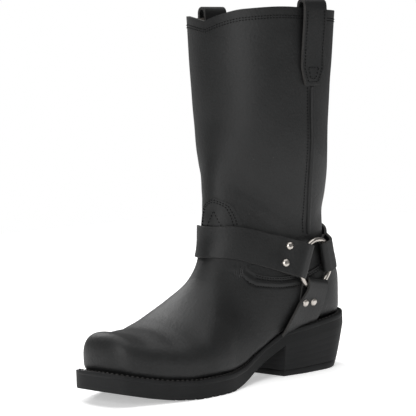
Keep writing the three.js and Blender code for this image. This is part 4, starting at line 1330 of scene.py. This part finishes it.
def make_heel(form):
    """The stack of layers, with a fine line where two of them meet"""
    lift = form.s.lift_thickness / form.s.heel_back_height
    dent, line, swell = 0.00006, 0.0001, 0.010
    edges = np.linspace(lift + swell, 1.0, HEEL_LAYERS + 1)
    loops = []
    for low, high in zip(edges, edges[1:]):
        loops += [heel_loop(form, low + line, dent), heel_loop(form, low + swell),
                  heel_loop(form, mix(low, high, 0.5)), heel_loop(form, high - swell),
                  heel_loop(form, high - line, dent if high < 1 else 0.0)]
    return firm_piece("heel_stack", stack_of_loops(loops), "heel", "heel", 50)


def make_lift(form):
    """The rubber lift under the heel, with softly rounded edges"""
    s = form.s
    lift = s.lift_thickness / s.heel_back_height
    loops = [heel_loop(form, rise, inset) for rise, inset in (
        (0.0, 0.0008), (0.02, 0.0001), (lift * 0.5, 0.0), (lift * 0.95, 0.0), (lift, 0.0003))]
    for loop in loops:
        loop[:, 2] = np.minimum(loop[:, 2], s.lift_thickness)
    return firm_piece("heel_top_lift", stack_of_loops(loops), "sole", "heel_lift", 50)


# Seams, pull loops and stitching


def seam_points(form, ahead=0.0):
    """The side seam's line seen from the side, from over the ring to the pull loop"""
    s = form.s
    ring_z, end_z = RING_UP * s.rim_height, s.rim_height - s.loop_length
    along = np.linspace(SEAM_LINE[0]["along"], SEAM_LINE[-1]["along"], 90)
    y = form.place_y(run_through(SEAM_LINE, "along", "at", along)) - ahead
    return np.column_stack([y, mix(ring_z, end_z, along)])


def make_seam(form, skin, side_name):
    """A raised cord down the shaft's side"""
    s = form.s
    rows = []
    for y, z in seam_points(form):
        row = []
        for across in np.linspace(-1, 1, 11):
            place, normal = land_from_side(skin, SIDES[side_name], y + across * s.seam_width / 2, z)
            rise = s.seam_height * (1 - abs(across) ** 2.4) ** 0.5
            row.append(place + normal * (rise + 0.00005))
        rows.append(row)
    bm = mapped_sheet(rows)
    face_outwards(bm)
    return piece("side_seam_" + side_name, bm, ["leather"], ["seam_" + side_name])


OUTSIDE_LINES, OVER_LINES, INSIDE_LINES = 34, 26, 16


def loop_path(form, skin, side):
    """Side line of a pull loop's outer face, from its end outside to its end inside"""
    s = form.s
    y, rim, end_z = form.place_y(LOOP_AT), s.rim_height, s.rim_height - s.loop_length
    lined = s.wall + s.fit + s.loop_leather

    def skin_x(z):
        return land_from_side(skin, side, y, min(z, rim - 0.001))[0].x * side
    path = []
    for z in np.linspace(end_z, rim, OUTSIDE_LINES):
        lift = s.loop_slack * float(smooth_step(z, end_z + s.loop_taper, rim))
        path.append((skin_x(z) + s.fit + lift + s.loop_leather, z))
    outer_x, inner_x = path[-1][0], skin_x(rim) - lined
    for angle in np.linspace(0, math.pi, OVER_LINES)[1:-1]:
        x = mix(inner_x, outer_x, (1 + math.cos(angle)) / 2)
        path.append((x, rim + s.loop_rise * math.sin(angle) ** 0.6))
    return path + [(skin_x(z) - lined, z) for z in np.linspace(rim, rim - s.loop_inside, INSIDE_LINES)]


def make_loop(form, skin, side_name):
    """A pull loop over the collar, narrower at its end outside"""
    s, side = form.s, SIDES[side_name]
    y, end_z = form.place_y(LOOP_AT), s.rim_height - s.loop_length
    rows = []
    for count, (x, z) in enumerate(loop_path(form, skin, side)):
        taper = min((z - end_z) / s.loop_taper, 1) if count < OUTSIDE_LINES else 1
        half = mix(s.loop_end_width, s.loop_width, taper) / 2
        rows.append([(side * x, y + across * half, z) for across in np.linspace(-1, 1, 9)])
    bm = mapped_sheet(rows)
    face_outwards_near(bm, Vector(rows[10][4]))
    return leather_piece("pull_strap_" + side_name, bm, s.loop_leather, 0.0004,
                         ["pull_loop_" + side_name])


def evenly(points, pitch):
    """Points at an even pitch along a line of places, each with its direction"""
    places = np.array([list(place) for place, _ in points])
    normals = np.array([list(normal) for _, normal in points])
    steps = np.linalg.norm(np.diff(places, axis=0), axis=1)
    run = np.concatenate([[0], np.cumsum(steps)])
    count = max(int(run[-1] / pitch), 1)
    for at in (np.arange(count) + 0.5) * run[-1] / count:
        spots = [np.array([np.interp(at + d, run, places[:, k]) for k in range(3)])
                 for d in (-pitch / 4, 0, pitch / 4)]
        normal = Vector([np.interp(at, run, normals[:, k]) for k in range(3)]).normalized()
        yield Vector(spots[1]), Vector(spots[2] - spots[0]).normalized(), normal


def sew(bm, points, pitch, thread):
    """Adds a row of stitches along a line of places and outward directions"""
    for place, way, normal in evenly(points, pitch):
        third = way.cross(normal).normalized()
        turn = Matrix((way, third, normal)).transposed().to_4x4()
        size = Matrix.Diagonal((pitch * 0.33, thread * 0.5, thread * 0.5, 1))
        where = Matrix.Translation(place + normal * thread * 0.25)
        bmesh.ops.create_uvsphere(bm, u_segments=6, v_segments=5, radius=1,
                                  matrix=where @ turn @ size @ Matrix.Rotation(math.pi / 2, 4, "Y"))


def side_line(surface, side, line):
    return [land_from_side(surface, side, y, z) for y, z in line]


def front_line(surface, line):
    return [land_from_front(surface, x, z) for x, z in line]


def straight(first, last, count):
    """Even places from one to another"""
    return [tuple(mix(a, b, q) for a, b in zip(first, last)) for q in np.linspace(0, 1, count)]


def vamp_line(form, surface, side, below, first=46, last=180):
    """Landings under the vamp's edge, from one turn about the leg to another"""
    points = []
    for degrees in np.linspace(first, last, 110):
        z = 0.1
        for _ in range(12):
            place, normal = land_at_turn(surface, side * degrees, z)
            under = float(form.vamp_z(place.y) - below * form.vamp_slant(place.y))
            z = mix(z, under, 0.5)
        points.append((place, normal))
    return points


def tongue_line(form, inset):
    """The tongue's edge from one shoulder over its peak to the other, drawn in"""
    s = form.s
    up = np.linspace(0.385, TONGUE_ROWS[-1]["up"] - 0.001, 50)
    half, z = s.ball_width * run_through(TONGUE_ROWS, "up", "half", up), up * s.rim_height
    slope = np.gradient(half, z)
    long = np.sqrt(1 + slope ** 2)
    right = [(x, height) for x, height in zip(half - inset / long, z + slope * inset / long) if x > 0]
    middle = TONGUE_SWING * s.ball_width
    return [(middle + x, height) for x, height in right] + [(middle - x, height) for x, height in right[::-1]]


def loop_lines(form):
    """Stitch lines on a pull loop: along both edges, and the box that closes its end"""
    s = form.s
    y, end_z = form.place_y(LOOP_AT), s.rim_height - s.loop_length
    taper_z, inset = end_z + s.loop_taper, 0.0030
    wide, narrow = s.loop_width / 2 - inset, s.loop_end_width / 2 - inset
    foot = end_z + inset
    lines = [straight((y - narrow, foot), (y + narrow, foot), 12)]
    for side in (1, -1):
        bend = (y + side * wide, taper_z)
        lines.append(straight((y + side * wide, s.rim_height - 0.001), bend, 40)
                     + [(mix(bend[0], y + side * narrow, q), mix(taper_z, foot, q))
                        for q in np.linspace(0.1, 1, 8)])
    top, low = taper_z + 0.001, foot + 0.0032
    box = [(y - wide * 0.62, top), (y + wide * 0.62, top), (y + narrow * 0.5, low),
           (y - narrow * 0.5, low)]
    return lines + [straight(first, last, 10) for first, last in zip(box, box[1:] + box[:1])]


def make_stitching(form, cover, loops):
    """All rows of stitches on the leather, as one piece"""
    s = form.s
    rows = []
    for side_name, side in SIDES.items():
        rows += [vamp_line(form, cover, side, below) for below in (0.0018, 0.0040)]
        rows.append(vamp_line(form, cover, side, 0.0099, 36, 120))
        beside_seam = [(y, z) for y, z in seam_points(form, 0.0068) if z > 0.130]
        rows.append(side_line(cover, side, beside_seam))
        rows += [side_line(loops[side_name], side, line) for line in loop_lines(form)]
    for down in (0.0078, 0.0100):
        row = []
        for degrees in np.linspace(-180, 180, 360):
            place, _ = land_at_turn(cover, degrees, s.rim_height - 0.030)
            row.append(land_at_turn(cover, degrees, float(form.rim_z(np.array(place))) - down))
        rows.append(row)
    rows += [front_line(cover, tongue_line(form, inset)) for inset in (0.0013, 0.0031)]
    x, z = TONGUE_SWING * s.ball_width, TONGUE_ROWS[-1]["up"] * s.rim_height
    for across in (-0.0068, 0.0068):
        rows.append(front_line(cover, straight((x + across, z - 0.026), (x, z - 0.0115), 12)))
    bm = bmesh.new()
    for row in rows:
        sew(bm, row, s.stitch_length, s.thread)
    return piece("stitching", bm, ["thread"])


def make_welt_stitches(form):
    """The stitches in the welt's groove"""
    turn = np.linspace(0, 2 * math.pi, 900)
    plan = form.outline(turn, np.full_like(turn, 0.0028))
    heights = form.welt_top(form.share_within(plan[:, 1])) + 0.0001
    points = [(Vector((x, y, z)), Vector((0, 0, 1))) for (x, y), z in zip(plan, heights)]
    bm = bmesh.new()
    sew(bm, points, pitch=0.0046, thread=0.0013)
    return piece("welt_stitching", bm, ["welt_thread"])


# Studio

# Camera: lengths in metres, turn and roll in radians, focal length and frame in pixels
CAMERA = {
    "turn": 0.79842, "away": 1.55147, "high": 0.27151, "aim": (0.01248, -0.114, 0.16038),
    "roll": -0.03587, "focal": 1745.4, "frame": 416.0,
}
# The world's light on the boot. The camera itself sees the world white.
SKY_LIGHT = 0.17
FLOOR_REACH = 1.5
LIGHTS = table(
    "name place aim size power",
    ("overhead", (0, 0, 2.2), (0, 0, 0), (2.6, 2.6), 52),
    ("front", (0.72, -1.75, 0.70), (0, -0.1, 0.18), (0.6, 0.8), 15),
    ("left", (-1.5, 0.1, 1.2), (0, -0.1, 0.1), (0.9, 0.9), 16),
    ("right", (1.7, -0.2, 0.7), (0, 0, 0.2), (0.5, 1.0), 0.5),
)


def make_camera():
    """The camera at the photo's angle, rolled about its own axis"""
    view = CAMERA
    aim = Vector(view["aim"])
    eye = Vector((aim.x + view["away"] * math.sin(view["turn"]),
                  aim.y - view["away"] * math.cos(view["turn"]), view["high"]))
    forward = (aim - eye).normalized()
    right = forward.cross(Vector((0, 0, 1))).normalized()
    up = right.cross(forward)
    c, s = math.cos(view["roll"]), math.sin(view["roll"])
    across, rise = right * c + up * s, up * c - right * s
    data = bpy.data.cameras.new("photo_view")
    data.sensor_width = 36
    data.lens = view["focal"] / view["frame"] * data.sensor_width
    data.clip_end = 20
    camera = bpy.data.objects.new("photo_view", data)
    camera.matrix_world = (Matrix.Translation(eye)
                           @ Matrix((across, rise, -forward)).transposed().to_4x4())
    bpy.context.scene.collection.objects.link(camera)
    bpy.context.scene.camera = camera


def area_light(name, place, aim, size, power):
    data = bpy.data.lights.new(name, "AREA")
    data.shape = "RECTANGLE"
    data.size, data.size_y = size
    data.energy = power
    light = bpy.data.objects.new(name, data)
    turn = (Vector(aim) - Vector(place)).to_track_quat("-Z", "Y")
    light.matrix_world = Matrix.Translation(Vector(place)) @ turn.to_matrix().to_4x4()
    bpy.context.scene.collection.objects.link(light)


def make_studio():
    """The world, the floor and the lights"""
    scene = bpy.context.scene
    world = bpy.data.worlds.new("studio")
    world.use_nodes = True
    background = world.node_tree.nodes["Background"]
    background.inputs["Color"].default_value = (1, 1, 1, 1)
    path = world.node_tree.nodes.new("ShaderNodeLightPath")
    seen = world.node_tree.nodes.new("ShaderNodeMapRange")
    seen.inputs["To Min"].default_value = SKY_LIGHT
    world.node_tree.links.new(path.outputs["Is Camera Ray"], seen.inputs["Value"])
    world.node_tree.links.new(seen.outputs["Result"], background.inputs["Strength"])
    scene.world = world
    scene.view_settings.view_transform = "Standard"
    bm = bmesh.new()
    bmesh.ops.create_grid(bm, x_segments=2, y_segments=2, size=FLOOR_REACH)
    mesh = bpy.data.meshes.new("floor")
    bm.to_mesh(mesh)
    bm.free()
    mesh.materials.append(finish_of("floor"))
    floor = bpy.data.objects.new("floor", mesh)
    scene.collection.objects.link(floor)
    for light in LIGHTS:
        area_light(**light)


# Operators: one for each piece or group of like pieces

built = {}


def boot_form():
    return BootForm(bpy.context.scene.boot_sizes)


class BuildUpper(bpy.types.Operator):
    """Build the upper's leather with its lining"""

    bl_idname = "boot.upper"
    bl_label = "Upper"

    def execute(self, context):
        built["upper"] = make_upper(boot_form())
        return {"FINISHED"}


class BuildVamp(bpy.types.Operator):
    """Build the vamp, the counter and the tongue's peak"""

    bl_idname = "boot.vamp"
    bl_label = "Vamp and tongue"

    def execute(self, context):
        form = boot_form()
        built["vamp"] = make_vamp(form)
        built["tongue"] = make_tongue(form, Surface(built["upper"]))
        return {"FINISHED"}


class BuildRings(bpy.types.Operator):
    """Build the two harness rings"""

    bl_idname = "boot.rings"
    bl_label = "Harness rings"

    def execute(self, context):
        for side_name in SIDES:
            make_ring(boot_form(), side_name)
        return {"FINISHED"}


class BuildStraps(bpy.types.Operator):
    """Build the harness straps round the rings"""

    bl_idname = "boot.straps"
    bl_label = "Harness straps"

    def execute(self, context):
        form, skin = boot_form(), Surface(built["upper"])
        for kind, rows, lead in (("front", FRONT_STRAP_ROWS, 0), ("back", BACK_STRAP_ROWS, 180)):
            built["strap_" + kind] = make_wrap_strap(form, skin, kind, rows, lead)
        for side_name in SIDES:
            built["strap_low_" + side_name] = make_low_strap(form, skin, side_name)
        return {"FINISHED"}


class BuildRivets(bpy.types.Operator):
    """Build the rivets' heads on the straps"""

    bl_idname = "boot.rivets"
    bl_label = "Rivets"

    def execute(self, context):
        form = boot_form()
        for side_name in SIDES:
            for kind, row in RIVETS.items():
                strap = row["strap"] if row["strap"] in built else row["strap"] + "_" + side_name
                make_rivet(form, Surface(built[strap]), side_name, kind, row)
        return {"FINISHED"}


class BuildSole(bpy.types.Operator):
    """Build the outsole, the welt and its stitches"""

    bl_idname = "boot.sole"
    bl_label = "Sole and welt"

    def execute(self, context):
        form = boot_form()
        make_outsole(form)
        make_welt(form)
        make_welt_stitches(form)
        make_insole(form)
        return {"FINISHED"}


class BuildHeel(bpy.types.Operator):
    """Build the heel's stack and its top lift"""

    bl_idname = "boot.heel"
    bl_label = "Heel"

    def execute(self, context):
        form = boot_form()
        make_heel(form)
        make_lift(form)
        return {"FINISHED"}


class BuildSeams(bpy.types.Operator):
    """Build the side seams and the pull loops"""

    bl_idname = "boot.seams"
    bl_label = "Side seams and pull loops"

    def execute(self, context):
        form, skin = boot_form(), Surface(built["upper"])
        for side_name in SIDES:
            make_seam(form, skin, side_name)
            built["loop_" + side_name] = make_loop(form, skin, side_name)
        return {"FINISHED"}


class BuildStitching(bpy.types.Operator):
    """Build the rows of stitches on the leather"""

    bl_idname = "boot.stitching"
    bl_label = "Stitching"

    def execute(self, context):
        cover = Surface(built["upper"], built["vamp"], built["tongue"])
        loops = {side_name: Surface(built["loop_" + side_name]) for side_name in SIDES}
        make_stitching(boot_form(), cover, loops)
        return {"FINISHED"}


class BuildStudio(bpy.types.Operator):
    """Build the floor, the lights and the camera"""

    bl_idname = "boot.studio"
    bl_label = "Studio"

    def execute(self, context):
        make_camera()
        make_studio()
        return {"FINISHED"}


STEPS = (BuildStudio, BuildUpper, BuildVamp, BuildRings, BuildStraps, BuildRivets, BuildSole,
         BuildHeel, BuildSeams, BuildStitching)


class BootPanel(bpy.types.Panel):
    """Lists the steps that build the boot"""

    bl_idname = "VIEW3D_PT_harness_boot"
    bl_label = "Harness boot"
    bl_space_type = "VIEW_3D"
    bl_region_type = "UI"
    bl_category = "Boot"

    def draw(self, context):
        for step in STEPS:
            self.layout.operator(step.bl_idname)


CLASSES = (BootSizes, BootColours, *STEPS, BootPanel)


def register():
    for each in CLASSES:
        bpy.utils.register_class(each)
    bpy.types.Scene.boot_sizes = bpy.props.PointerProperty(type=BootSizes)
    bpy.types.Scene.boot_colours = bpy.props.PointerProperty(type=BootColours)


def unregister():
    del bpy.types.Scene.boot_colours
    del bpy.types.Scene.boot_sizes
    for each in reversed(CLASSES):
        bpy.utils.unregister_class(each)


def main():
    register()
    for step in STEPS:
        group, name = step.bl_idname.split(".")
        getattr(getattr(bpy.ops, group), name)()


if __name__ == "__main__":
    main()
